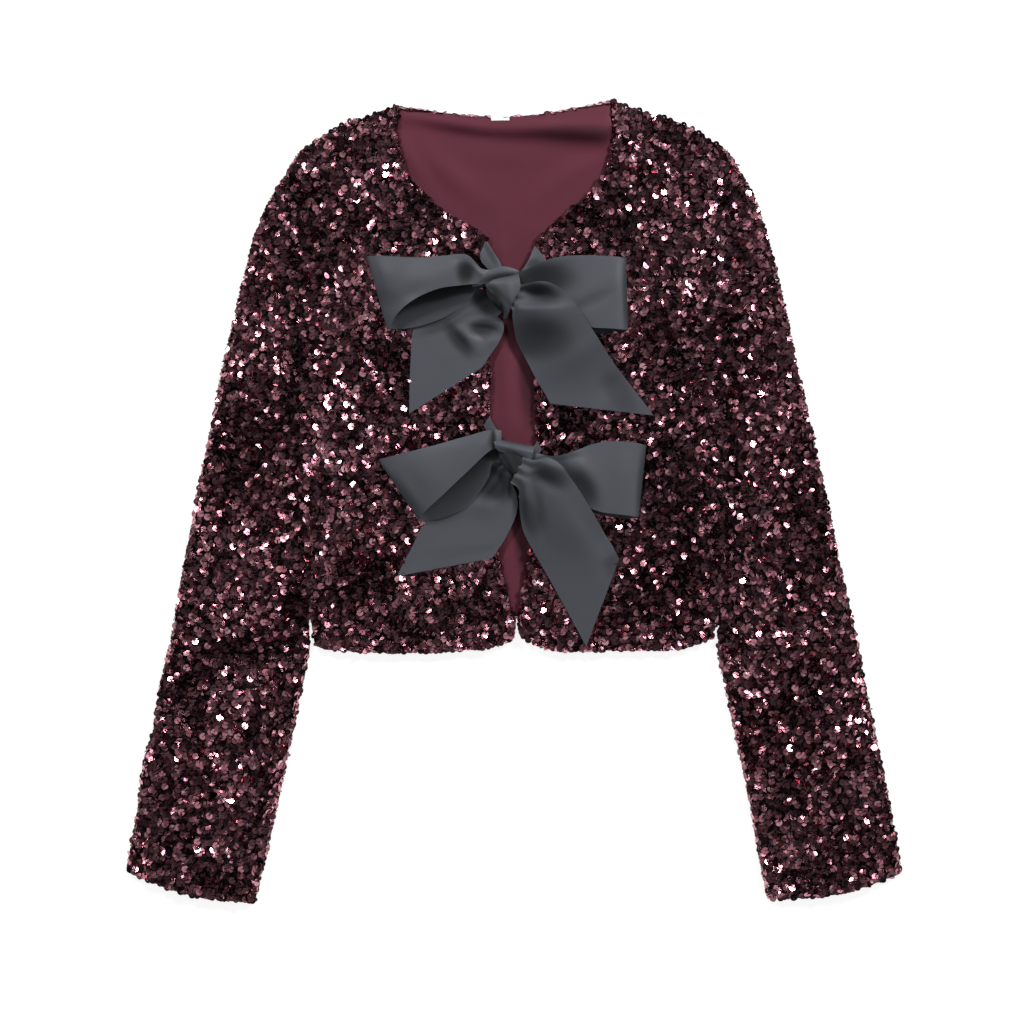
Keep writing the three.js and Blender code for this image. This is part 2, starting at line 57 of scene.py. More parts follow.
# Centripetal curve through the points, t from 0 to 1 in equal steps between points
def curveAt(points, t):
    pts = np.asarray(points, float)
    ends = np.vstack([2 * pts[0] - pts[1], pts, 2 * pts[-1] - pts[-2]])
    place = np.clip(np.asarray(t, float), 0, 1) * (len(pts) - 1)
    leg = np.minimum(place.astype(int), len(pts) - 2)
    w = (place - leg)[:, None]
    p0, p1, p2, p3 = (ends[leg + i] for i in range(4))
    d0, d1, d2 = (np.maximum(np.linalg.norm(b - a, axis=1), 1e-6)[:, None] ** 0.5
                  for a, b in ((p0, p1), (p1, p2), (p2, p3)))
    t1 = d1 * ((p1 - p0) / d0 - (p2 - p0) / (d0 + d1) + (p2 - p1) / d1)
    t2 = d1 * ((p2 - p1) / d1 - (p3 - p1) / (d1 + d2) + (p3 - p2) / d2)
    return (p1 + t1 * w + (3 * (p2 - p1) - 2 * t1 - t2) * w ** 2
            + (2 * (p1 - p2) + t1 + t2) * w ** 3)


# The same curve, t running evenly along its length
def evenAt(points, t):
    fine = np.linspace(0, 1, 401)
    line = curveAt(points, fine)
    run = np.concatenate([[0], np.cumsum(np.linalg.norm(np.diff(line, axis=0), axis=1))])
    return curveAt(points, np.interp(np.asarray(t, float) * run[-1], run, fine))


# One edge made of several outlines, each with its share of the edge
def edgeAt(legs, t):
    t = np.asarray(t, float)
    total = sum(share for _, share in legs)
    out = np.zeros((len(t), 2))
    start = 0
    for points, share in legs:
        inLeg = (t * total >= start - 1e-9) & (t * total <= start + share + 1e-9)
        out[inLeg] = evenAt(points, (t[inLeg] * total - start) / share)
        start += share
    return out


# Distance of many places from a row of points
def distanceTo(points, x, y):
    spot = np.stack([x, y], 1)
    nearest = np.full(len(x), 1e9)
    for a, b in zip(np.asarray(points, float)[:-1], np.asarray(points, float)[1:]):
        along = np.clip(((spot - a) @ (b - a)) / max((b - a) @ (b - a), 1e-9), 0, 1)
        nearest = np.minimum(nearest, np.linalg.norm(spot - a - along[:, None] * (b - a), axis=1))
    return nearest


# Soft unevenness of laid cloth: a few sine waves with fixed turns
def ripple(x, y, size, seed):
    draw = np.random.default_rng(seed)
    total = np.zeros(len(x))
    for turn, phase, stretch in zip(draw.uniform(0, math.tau, 7), draw.uniform(0, math.tau, 7),
                                    draw.uniform(0.6, 1.7, 7)):
        total += np.sin((x * math.cos(turn) + y * math.sin(turn)) / (size * stretch) + phase)
    return total / 7


cloth = {
    "thick": 2, "liningThick": 1, "ribbonThick": 0.5, "labelThick": 0.7, "seamGap": 0.3,
    "frontAir": 1.6, "sleeveHollow": 3.2, "tuckHigh": 5.4, "tuckRamp": 30,
}

# Outlines of the body, each from its first corner to its second
edges = {
    "left": {
        "side": [(-174, -126), (-179, -88), (-182, -44), (-184, 0), (-186.5, 52), (-185.6, 100)],
        "armhole": [(-185.6, 100), (-183, 306)],
        "shoulder": [(-183, 306), (-170, 316), (-157, 323), (-147, 329), (-129, 334), (-113, 341), (-101.5, 344)],
        "neck": [(-101.5, 344), (-105, 327), (-100, 304.5), (-93, 283), (-80, 268), (-60, 249.5), (-41, 239.5),
                 (-24.5, 228.5)],
        "front": [(-4, -122.5), (-0.7, -117), (0, -106), (-4.5, -93), (-13, -58), (-20, -9), (-23, 61),
                  (-22, 114), (-23, 175), (-24.5, 228.5)],
        "hem": [(-174, -126), (-156, -130.5), (-135, -131.5), (-102, -132.5), (-49, -130.5), (-24, -128.5),
                (-4, -122.5)],
    },
    "right": {
        "side": [(173, -120), (178.5, -88), (182, -44), (184, 0), (185.5, 52), (183.6, 100)],
        "armhole": [(183.6, 100), (178, 310)],
        "shoulder": [(178, 310), (164, 318.5), (150, 327), (134, 333), (108, 340.5), (94, 346), (86, 349)],
        "neck": [(86, 349), (87, 328), (85, 304.5), (81, 290), (68, 268), (49, 253), (32.5, 238), (21, 226)],
        "front": [(8, -120), (5, -114), (4.5, -104), (8, -81), (13, -50), (17.5, -4), (21, 52), (20, 88),
                  (21, 175), (21, 226)],
        "hem": [(173, -120), (162, -124), (149, -128), (134, -130), (88, -130.5), (63, -131), (33, -130), (8, -120)],
    },
}
backHem = [(-174, -126), (-150, -127), (-100, -116), (-50, -106), (0, -103), (50, -105), (100, -114),
           (150, -124), (173, -120)]
backNeck = [(-101.5, 344), (-82, 342), (-65, 339), (-34, 336), (-12, 335), (23, 337.5), (54, 343), (86, 349)]
liningEdges = {
    "neck": [(-100, 342), (-82, 340.5), (-65, 337.5), (-34, 334.5), (-12, 333.5), (23, 336), (54, 341.5),
             (84, 347)],
    "left": [(-70, -106), (-74, 20), (-84, 150), (-106, 240), (-108, 292), (-104.5, 312), (-100.5, 332),
             (-100, 342)],
    "right": [(70, -106), (74, 20), (84, 150), (94, 240), (92, 292), (87, 314), (84, 333), (84, 347)],
    "hem": [(-70, -106), (-35, -102), (0, -100.5), (35, -102), (70, -106)],
}

# Soft ridges: where each lies, its turn in degrees, half length, half width and height
folds = {
    "front": [
        (-128, 190, 84, 80, 14, 1.4), (-148, 20, 66, 60, 15, 1.2), (-100, -96, 84, 50, 13, 1.2),
        (124, 205, 96, 80, 14, 1.4), (148, 10, 112, 60, 15, 1.2), (104, -92, 98, 50, 13, 1.2),
    ],
    "lining": [
        (-50, 329, -9, 52, 6, 3.4), (44, 323.5, -3.5, 52, 6.5, 4.6), (-52, 282, -38, 40, 12, 1.6),
        (38, 276, 40, 34, 12, 1.6), (-8, 150, 92, 80, 6, 1.2), (9, 20, 86, 90, 6, 1.2),
    ],
    "sleeve": [
        (-230, 175, 74, 70, 12, 1.7), (-252, 20, 68, 70, 13, 1.6), (-228, -60, 104, 60, 12, 1.4),
        (-278, -150, 72, 70, 13, 1.6), (-262, -255, 88, 50, 12, 1.3), (228, 190, 106, 70, 12, 1.7),
        (250, 30, 112, 70, 13, 1.6), (226, -70, 76, 60, 12, 1.4), (282, -160, 104, 70, 13, 1.6),
        (258, -260, 92, 50, 12, 1.3),
    ],
}


def foldHeight(rows, x, y):
    high = np.zeros(len(x))
    for foldX, foldY, turn, long, wide, top in rows:
        turn = math.radians(turn)
        along = (x - foldX) * math.cos(turn) + (y - foldY) * math.sin(turn)
        across = (y - foldY) * math.cos(turn) - (x - foldX) * math.sin(turn)
        high += top * np.exp(-((along / long) ** 2) - (across / wide) ** 2)
    return high


# Creases may be steeper on one side: half widths left and right of their line, then the height
liningCreases = [
    (72, 321, -1, 42, 16, 10, 7.6), (8, 324, -2, 34, 12, 6, 3.4), (-48, 327, -9, 30, 9, 5, 2.2),
    (-92, 300, -56, 26, 7, 5, 2.0), (-62, 290, -48, 30, 10, 8, 1.0), (60, 290, 30, 30, 9, 7, 1.0),
    (-14, 300, -4, 46, 14, 10, 0.9), (-9, 110, 92, 46, 8, 13, 2.4), (-6, -60, 88, 40, 6, 9, 2.2),
]


def creaseHeight(rows, x, y):
    high = np.zeros(len(x))
    for creaseX, creaseY, turn, long, left, right, top in rows:
        turn = math.radians(turn)
        along = (x - creaseX) * math.cos(turn) + (y - creaseY) * math.sin(turn)
        across = (y - creaseY) * math.cos(turn) - (x - creaseX) * math.sin(turn)
        high += top * np.exp(-((along / long) ** 2) - (across / np.where(across > 0, left, right)) ** 2)
    return high


# Painted shade: the satin's colour is darkened where it dips into a fold and where other parts would shade it: x, y,
# turn, half length, half width, share of tone lost
def paintedFoldShade(rows, x, y):
    shade = np.ones(len(x))
    for foldX, foldY, turn, long, wide, lost in rows:
        turn = math.radians(turn)
        along = (x - foldX) * math.cos(turn) + (y - foldY) * math.sin(turn)
        across = (y - foldY) * math.cos(turn) - (x - foldX) * math.sin(turn)
        shade *= 1 - lost * np.exp(-(((along / long) ** 2 + (across / wide) ** 2) ** 2.2))
    return shade


# The "fold" attribute carries the painted shade, 1 where nothing is painted darker
def setPaintedShade(mesh, values):
    mesh.attributes.new("fold", "FLOAT", "POINT").data.foreach_set("value", np.asarray(values, np.float32))


# Painted shade on the lining: darker in its neck crease, and painted shadow where the ribbons and the right front
# would shadow the opening: x, y, turn, half length, half width, share of tone lost
liningPaintedShade = [
    (62, 320.5, -1, 46, 6.5, 0.5), (13.5, 112, 94, 54, 10, 0.62), (-2, 149, 90, 18, 9, 0.6),
    (8, -34, 94, 36, 8, 0.6), (2, 12, 90, 16, 12, 0.5),
]


# The body climbs over each sleeve's under-arm, which is folded in below it
def rise(x, y):
    tuckEdge = lerp(178, 134, np.clip((y + 126) / 168, 0, 1))
    across = smooth((np.abs(x) - tuckEdge + cloth["tuckRamp"]) / cloth["tuckRamp"])
    return cloth["tuckHigh"] * across * smooth((104 - y) / 30) * smooth((y + 124) / 26)


def frontLow(edge, x, y):
    offSeam = smooth(distanceTo(edge["side"] + edge["armhole"] + edge["shoulder"], x, y) / 18)
    inside = smooth(distanceTo(edge["hem"] + edge["front"][::-1] + edge["neck"], x, y) / 40)
    air = lerp(2 * cloth["seamGap"], cloth["frontAir"], inside) + inside * foldHeight(folds["front"], x, y)
    step = cloth["liningThick"] + cloth["seamGap"] + air
    return rise(x, y) + cloth["thick"] + cloth["seamGap"] + offSeam * step


openShape = (edges["left"]["front"] + edges["left"]["neck"][::-1] + edges["right"]["neck"]
             + edges["right"]["front"][::-1])


def isOpen(x, y):
    inside = np.zeros(len(x), bool)
    for (ax, ay), (bx, by) in zip(openShape, openShape[1:] + openShape[:1]):
        if ay != by:
            inside ^= ((ay > y) != (by > y)) & (x < ax + (y - ay) / (by - ay) * (bx - ax))
    return inside


def liningLow(x, y):
    inside = isOpen(x, y)
    open_ = np.where(inside, smooth(distanceTo(openShape, x, y) / 12), 0)
    soft = np.where(inside, smooth(distanceTo(openShape, x, y) / 4), 0)
    return (cloth["thick"] + cloth["seamGap"] + open_ * foldHeight(folds["lining"], x, y)
            + soft * creaseHeight(liningCreases, x, y))


# A grid of the given steps, each vertex placed by a function of its two shares, and laid out flat in its UV
def gridPiece(name, stepsU, stepsV, place, flatSize, ring=False, shade=None):
    bm = bmesh.new()
    bmesh.ops.create_grid(bm, x_segments=stepsU, y_segments=stepsV, size=0.5)
    share = np.array([v.co[:2] for v in bm.verts]) + 0.5
    uvLayer = bm.loops.layers.uv.new("cut")
    for face in bm.faces:
        for loop in face.loops:
            u, v = share[loop.vert.index]
            loop[uvLayer].uv = (u * flatSize[0] * mm, v * flatSize[1] * mm)
    spots = place(share[:, 0], share[:, 1])
    for vert, spot in zip(bm.verts, spots * mm):
        vert.co = spot
    if ring:
        bmesh.ops.remove_doubles(bm, verts=bm.verts, dist=0.02 * mm)
    for face in bm.faces:
        face.smooth = True
    for edge in bm.edges:
        edge.smooth = not edge.is_boundary
    mesh = bpy.data.meshes.new(name)
    bm.to_mesh(mesh)
    bm.free()
    # Each flat piece gets the painted shade attribute "fold": the given painted shade, or 1 where nothing is painted
    # darker
    if not ring:
        setPaintedShade(mesh, shade(share[:, 0], share[:, 1], spots) if shade else np.ones(len(share)))
    piece = bpy.data.objects.new(name, mesh)
    bpy.context.collection.objects.link(piece)
    return piece


def thicken(piece, thick, offset):
    wall = piece.modifiers.new("wall", "SOLIDIFY")
    wall.thickness = thick * mm
    wall.offset = offset
    wall.use_even_offset = False
    wall.use_quality_normals = True


def dress(piece, material, node=None):
    piece.data.materials.clear()
    piece.data.materials.append(material)
    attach(piece, "root")
    if node:
        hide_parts(node)
    return piece


# Shader groups shared by the cloths
def newGroup(name, inputs, outputs):
    group = bpy.data.node_groups.new(name, "ShaderNodeTree")
    for label, kind, value in inputs:
        socket = group.interface.new_socket(name=label, in_out="INPUT", socket_type=kind)
        if value is not None:
            socket.default_value = value
    for label, kind in outputs:
        group.interface.new_socket(name=label, in_out="OUTPUT", socket_type=kind)
    return group, group.nodes.new("NodeGroupInput"), group.nodes.new("NodeGroupOutput")


def mathNode(tree, operation, a, b=None):
    node = tree.nodes.new("ShaderNodeMath")
    node.operation = operation
    for i, value in enumerate((a, b)):
        if isinstance(value, (int, float)):
            node.inputs[i].default_value = value
        elif value is not None:
            tree.links.new(value, node.inputs[i])
    return node.outputs[0]


# Threads over and under each other: how high each place of the cloth lies, 0 to 1
def makeWeaveGroup():
    tree, given, out = newGroup(
        "weave", [("Place", "NodeSocketVector", None), ("Threads", "NodeSocketFloat", 2500.0),
                  ("Float", "NodeSocketFloat", 4.0)],
        [("Height", "NodeSocketFloat")])
    split = tree.nodes.new("ShaderNodeSeparateXYZ")
    tree.links.new(given.outputs["Place"], split.inputs[0])
    warp = mathNode(tree, "MULTIPLY", split.outputs[0], given.outputs["Threads"])
    weft = mathNode(tree, "MULTIPLY", split.outputs[1], given.outputs["Threads"])
    warpRound = mathNode(tree, "ABSOLUTE", mathNode(tree, "SINE", mathNode(tree, "MULTIPLY", warp, math.pi)))
    longWeft = mathNode(tree, "DIVIDE", weft, given.outputs["Float"])
    shift = mathNode(tree, "MULTIPLY", mathNode(tree, "FLOOR", warp), 0.4)
    crossing = mathNode(tree, "SINE", mathNode(tree, "MULTIPLY", mathNode(tree, "ADD", longWeft, shift), math.tau))
    dip = mathNode(tree, "MULTIPLY", mathNode(tree, "ADD", crossing, 1.0), 0.2)
    tree.links.new(mathNode(tree, "SUBTRACT", warpRound, dip), out.inputs["Height"])
    return tree


# Slow change of tone and nap over the cloth
def makeToneGroup():
    tree, given, out = newGroup(
        "clothTone", [("Place", "NodeSocketVector", None), ("Size", "NodeSocketFloat", 12.0),
                      ("Dark", "NodeSocketColor", (0, 0, 0, 1)), ("Light", "NodeSocketColor", (1, 1, 1, 1))],
        [("Color", "NodeSocketColor"), ("Amount", "NodeSocketFloat")])
    cloud = tree.nodes.new("ShaderNodeTexNoise")
    cloud.inputs["Detail"].default_value = 4
    tree.links.new(given.outputs["Place"], cloud.inputs["Vector"])
    tree.links.new(given.outputs["Size"], cloud.inputs["Scale"])
    mix = tree.nodes.new("ShaderNodeMix")
    mix.data_type = "RGBA"
    tree.links.new(cloud.outputs["Fac"], mix.inputs["Factor"])
    tree.links.new(given.outputs["Dark"], mix.inputs["A"])
    tree.links.new(given.outputs["Light"], mix.inputs["B"])
    tree.links.new(mix.outputs["Result"], out.inputs["Color"])
    tree.links.new(cloud.outputs["Fac"], out.inputs["Amount"])
    return tree


weaveGroup = makeWeaveGroup()
toneGroup = makeToneGroup()


def newMaterial(name, settings):
    material = bpy.data.materials.new(name)
    material.use_nodes = True
    shader = material.node_tree.nodes["Principled BSDF"]
    for label, value in settings.items():
        shader.inputs[label].default_value = value
    return material, material.node_tree, shader


def placeFrom(tree, output):
    coords = tree.nodes.new("ShaderNodeTexCoord")
    return coords.outputs[output]


def addGroup(tree, group, place, **values):
    node = tree.nodes.new("ShaderNodeGroup")
    node.node_tree = group
    tree.links.new(place, node.inputs["Place"])
    for label, value in values.items():
        node.inputs[label].default_value = value
    return node


def addBump(tree, shader, height, strength, distance):
    bump = tree.nodes.new("ShaderNodeBump")
    bump.inputs["Strength"].default_value = strength
    bump.inputs["Distance"].default_value = distance * mm
    tree.links.new(height, bump.inputs["Height"])
    tree.links.new(bump.outputs["Normal"], shader.inputs["Normal"])
    return bump


def makeSatin(name, look):
    material, tree, shader = newMaterial(name, look["shader"])
    place = placeFrom(tree, "UV")
    tone = addGroup(tree, toneGroup, place, Size=look["toneSize"], Dark=look["dark"], Light=look["light"])
    # The "fold" attribute paints shade into the base colour, darkening the satin in folds and under other parts;
    # roughness rises with it so the sheen dims there too
    fold = tree.nodes.new("ShaderNodeAttribute")
    fold.attribute_name = "fold"
    paintedShadeColor = tree.nodes.new("ShaderNodeVectorMath")
    paintedShadeColor.operation = "SCALE"
    tree.links.new(tone.outputs["Color"], paintedShadeColor.inputs["Vector"])
    tree.links.new(fold.outputs["Fac"], paintedShadeColor.inputs["Scale"])
    tree.links.new(paintedShadeColor.outputs["Vector"], shader.inputs["Base Color"])
    inFold, onTop = look["roughness"]
    gloss = mathNode(tree, "MULTIPLY", fold.outputs["Fac"], inFold - onTop)
    tree.links.new(mathNode(tree, "SUBTRACT", inFold, gloss), shader.inputs["Roughness"])
    threads = addGroup(tree, weaveGroup, place, Threads=look["threads"], Float=look["float"])
    addBump(tree, shader, threads.outputs["Height"], look["weaveDepth"], 0.06)
    return material


satinLooks = {
    "ribbon": {
        "dark": (0.064, 0.0675, 0.081, 1), "light": (0.075, 0.0795, 0.095, 1), "toneSize": 26.0,
        "threads": 3600.0, "float": 6.0, "weaveDepth": 0.22,
        "roughness": (0.95, 0.5),
        "shader": {"Specular IOR Level": 0.3, "Sheen Weight": 0.05, "Sheen Roughness": 0.5},
    },
    "lining": {
        "dark": (0.084, 0.016, 0.029, 1), "light": (0.116, 0.023, 0.040, 1), "toneSize": 18.0,
        "threads": 2600.0, "float": 4.0, "weaveDepth": 0.3,
        "roughness": (0.9, 0.65),
        "shader": {"Specular IOR Level": 0.2, "Sheen Weight": 0.12, "Sheen Roughness": 0.5,
                   "Sheen Tint": (1.0, 0.5, 0.6, 1)},
    },
    "label": {
        "dark": (0.72, 0.71, 0.69, 1), "light": (0.86, 0.85, 0.83, 1), "toneSize": 90.0,
        "threads": 1500.0, "float": 2.0, "weaveDepth": 0.6,
        "roughness": (0.9, 0.75),
        "shader": {"Specular IOR Level": 0.3},
    },
}
ribbonSatin = makeSatin("ribbonSatin", satinLooks["ribbon"])
liningSatin = makeSatin("liningSatin", satinLooks["lining"])
labelTape = makeSatin("labelTape", satinLooks["label"])

sequinLook = {
    # share of the tone, then the colour; the thread over each sequin has tone 0; tones 0.03 to 0.12 paint a share of
    # the sequins near-black, a painted reflection of the dark room; the deep red last stop is a painted glint of light
    # bounced between sequins
    "tones": [(0.0, (0.012, 0.010, 0.011, 1)), (0.03, (0.08, 0.036, 0.050, 1)), (0.12, (0.12, 0.048, 0.066, 1)),
              (0.2, (0.26, 0.095, 0.125, 1)), (0.5, (0.54, 0.21, 0.26, 1)), (0.94, (0.82, 0.42, 0.48, 1)),
              (0.995, (0.72, 0.24, 0.28, 1))],
    "shader": {"Metallic": 1.0, "Coat Weight": 0.15, "Coat Roughness": 0.5},
    "roughness": (0.11, 0.27),
    "cellSize": 210.0,
}


# Sequin foil: each sequin has a tone of its own
def makeFoil():
    material, tree, shader = newMaterial("sequinFoil", sequinLook["shader"])
    tone = tree.nodes.new("ShaderNodeAttribute")
    tone.attribute_name = "tone"
    ramp = tree.nodes.new("ShaderNodeValToRGB")
    stops = ramp.color_ramp.elements
    stops[1].color = sequinLook["tones"][-1][1]
    for share, color in sequinLook["tones"]:
        stops.new(share).color = color
    tree.links.new(tone.outputs["Fac"], ramp.inputs["Fac"])
    tree.links.new(ramp.outputs["Color"], shader.inputs["Base Color"])
    least, most = sequinLook["roughness"]
    wear = mathNode(tree, "MULTIPLY", mathNode(tree, "PINGPONG", tone.outputs["Fac"], 0.1), (most - least) * 10)
    tree.links.new(mathNode(tree, "ADD", wear, least), shader.inputs["Roughness"])
    return material


# Net ground below the sequins, and the sequins themselves as round cells where the cloth rests
def makeGround():
    material, tree, shader = newMaterial("sequinGround", {"Roughness": 0.45, "Metallic": 0.35})
    cells = tree.nodes.new("ShaderNodeTexVoronoi")
    cells.inputs["Scale"].default_value = sequinLook["cellSize"]
    tree.links.new(placeFrom(tree, "Object"), cells.inputs["Vector"])
    ramp = tree.nodes.new("ShaderNodeValToRGB")
    ramp.color_ramp.elements[0].color = (0.075, 0.026, 0.038, 1)
    ramp.color_ramp.elements[1].color = (0.024, 0.017, 0.021, 1)
    ramp.color_ramp.elements[0].position = 0.35
    ramp.color_ramp.elements[1].position = 0.7
    tree.links.new(cells.outputs["Distance"], ramp.inputs["Fac"])
    tree.links.new(ramp.outputs["Color"], shader.inputs["Base Color"])
    addBump(tree, shader, mathNode(tree, "SUBTRACT", 1.0, cells.outputs["Distance"]), 0.6, 1.2)
    return material


sequinFoil = makeFoil()
sequinGround = makeGround()
print("jacket: materials made")


# Body panels
def patchPlace(bottom, top, left, right, height):
    def place(u, v):
        b, t, l, r = edgeAt(bottom, u), edgeAt(top, u), edgeAt(left, v), edgeAt(right, v)
        corner = [edgeAt(line, [end])[0] for line, end in ((bottom, 0), (bottom, 1), (top, 0), (top, 1))]
        u, v = u[:, None], v[:, None]
        flat = (lerp(b, t, v) + lerp(l, r, u)
                - lerp(lerp(corner[0], corner[1], u), lerp(corner[2], corner[3], u), v))
        return np.column_stack([flat, height(flat[:, 0], flat[:, 1])])
    return place


bodySettings = {"acrossFront": 60, "upFront": 120, "acrossBack": 90, "acrossLining": 84, "upLining": 190,
                "rippleSize": 9, "rippleHigh": 0.35}


def seamLegs(edge):
    return [(edge["side"], 9), (edge["armhole"], 9)]


def makeBack():
    s = bodySettings
    top = [(edges["left"]["shoulder"], 5), (backNeck, 10), (edges["right"]["shoulder"][::-1], 5)]
    piece = gridPiece(
        "backCloth", s["acrossBack"], s["upFront"],
        patchPlace([(backHem, 1)], top, seamLegs(edges["left"]), seamLegs(edges["right"]), rise), (358, 470))
    thicken(piece, cloth["thick"], 1)
    dress(piece, sequinGround, "back")
    return piece


def makeFront(hand):
    s = bodySettings
    edge = edges[hand]

    def height(x, y):
        inside = smooth(distanceTo(edge["side"] + edge["armhole"] + edge["shoulder"], x, y) / 30)
        return frontLow(edge, x, y) + s["rippleHigh"] * inside * ripple(x, y, s["rippleSize"], 5)

    place = patchPlace([(edge["hem"], 1)], [(edge["shoulder"], 5), (edge["neck"], 9)], seamLegs(edge),
                       [(edge["front"], 1)], height)
    piece = gridPiece(f"frontCloth_{hand}", s["acrossFront"], s["upFront"], place, (170, 450))
    thicken(piece, cloth["thick"], 1 if hand == "left" else -1)
    dress(piece, sequinGround, f"front_{hand}")
    return piece


def makeLining():
    s = bodySettings
    place = patchPlace([(liningEdges["hem"], 1)], [(liningEdges["neck"], 1)], [(liningEdges["left"], 1)],
                       [(liningEdges["right"], 1)], liningLow)
    # The lining's colour carries the painted shade and painted shadow of its rows
    piece = gridPiece("liningCloth", s["acrossLining"], s["upLining"], place, (170, 440),
                      shade=lambda u, v, spots: paintedFoldShade(liningPaintedShade, spots[:, 0], spots[:, 1]))
    thicken(piece, cloth["liningThick"], 1)
    dress(piece, liningSatin, "back_lining")
    return piece


backCloth = makeBack()
liningCloth = makeLining()
frontCloths = {hand: makeFront(hand) for hand in ("left", "right")}
print("jacket: body panels laid")

# Sleeves: each row crosses from the outer fold to the under-arm fold
sleeveRowsOf = {
    "left": [
        (-183.5, 306.3, -185.5, 100.2), (-191, 296, -186.4, 91), (-199, 282, -186.2, 80), (-212, 261.5, -185.6, 66),
        (-226, 226.5, -183, 50), (-235.5, 190, -170, 34), (-245, 151.5, -155, 18), (-254, 113, -147, -3),
        (-264, 61, -154, -32), (-274, 15, -162, -60), (-282, -29, -172, -83), (-290.5, -72.5, -179, -107),
        (-299, -121.5, -181, -136), (-309, -164.5, -188, -172), (-315, -202, -194.5, -203),
        (-323, -231, -201, -234), (-329, -275, -210, -276), (-334, -301, -219, -318),
        (-337.5, -324, -227.5, -350.5),
    ],
    "right": [
        (178.5, 310.3, 183.5, 100.2), (190, 297, 184.8, 91), (199, 282, 184.8, 80), (207.5, 267, 184.4, 66),
        (222.5, 220, 182, 50), (234, 176, 169, 34), (244, 128, 155, 18), (250, 102, 147, -3),
        (258, 66, 154, -32), (269, 15, 162, -60), (277.5, -25, 172, -83), (287.5, -71, 178.6, -106),
        (297.5, -116, 180, -136), (306, -163, 187, -172), (317, -216, 197, -217), (326, -258, 206, -259),
        (331, -285, 211, -288), (335, -306, 216.5, -318), (337.5, -326, 222.5, -348),
    ],
}
sleeveSettings = {"around": 104, "along": 132, "foldRound": 2.15, "cuffBow": 7, "foldShare": 0.04,
                  "rippleSize": 10, "rippleHigh": 0.5}


def sleevePlace(rows, inset):
    s = sleeveSettings
    out, into = [(a, b) for a, b, _, _ in rows], [(c, d) for _, _, c, d in rows]
    radius = s["foldRound"] - inset

    # around runs over the lower layer, the under-arm fold, the upper layer and the outer fold
    def place(around, along):
        o, i = curveAt(out, along), curveAt(into, along)
        across = i - o
        width = np.linalg.norm(across, axis=1)
        across /= width[:, None]
        bow = np.stack([across[:, 1], -across[:, 0]], 1) * np.sign(across[:, :1])
        fold, flat = s["foldShare"], 0.5 - s["foldShare"]
        leg = np.searchsorted([flat, 0.5, 0.5 + flat], around, side="right")
        k = np.choose(leg, [around / flat, (around - flat) / fold, (around - 0.5) / flat,
                            (around - 0.5 - flat) / fold])
        near, far = s["foldRound"], width - s["foldRound"]
        turn = np.choose(leg, [0 * k, lerp(-math.pi / 2, math.pi / 2, k), 0 * k,
                               lerp(math.pi / 2, math.pi * 1.5, k)])
        c = np.choose(leg, [lerp(near, far, k), far + radius * np.cos(turn), lerp(far, near, k),
                            near + radius * np.cos(turn)])
        z = np.choose(leg, [s["foldRound"] - radius + 0 * k, s["foldRound"] + radius * np.sin(turn),
                            s["foldRound"] + radius + 0 * k, s["foldRound"] + radius * np.sin(turn)])
        middle = np.sin(math.pi * np.clip(c / width, 0, 1))
        cuff = smooth((along - 0.86) / 0.14)
        spot = o + across * c[:, None] + bow * (cuff * s["cuffBow"] * middle)[:, None]
        x, y = spot[:, 0], spot[:, 1]
        flatUnder = smooth((np.abs(x) - 187) / 16)
        room = np.minimum(cloth["sleeveHollow"] + foldHeight(folds["sleeve"], x, y), cloth["sleeveHollow"] + 0.5)
        room = room + s["rippleHigh"] * ripple(x, y, s["rippleSize"], 9)
        swell = smooth(along / 0.16) * flatUnder * np.sqrt(np.maximum(middle, 0)) * room
        # the under layer gives way where the rows bunch up at the under-arm, so its wall stays off the floor
        tuck = (smooth((np.abs(x) - 154) / 6) * smooth((203 - np.abs(x)) / 6)
                * smooth((y - 12) / 6) * smooth((100 - y) / 6) * cloth["thick"])
        return np.column_stack([spot, z + np.where(leg == 2, swell, np.where(leg < 2, tuck, 0))])
    return place


def makeSleeve(hand):
    s = sleeveSettings
    piece = gridPiece(f"sleeveCloth_{hand}", s["around"], s["along"], sleevePlace(sleeveRowsOf[hand], 0),
                      (260, 655), ring=True)
    thicken(piece, cloth["thick"], -1 if hand == "left" else 1)
    dress(piece, sequinGround, f"sleeve_{hand}")
    return piece


sleeveCloths = {hand: makeSleeve(hand) for hand in ("left", "right")}
print("jacket: sleeves laid")

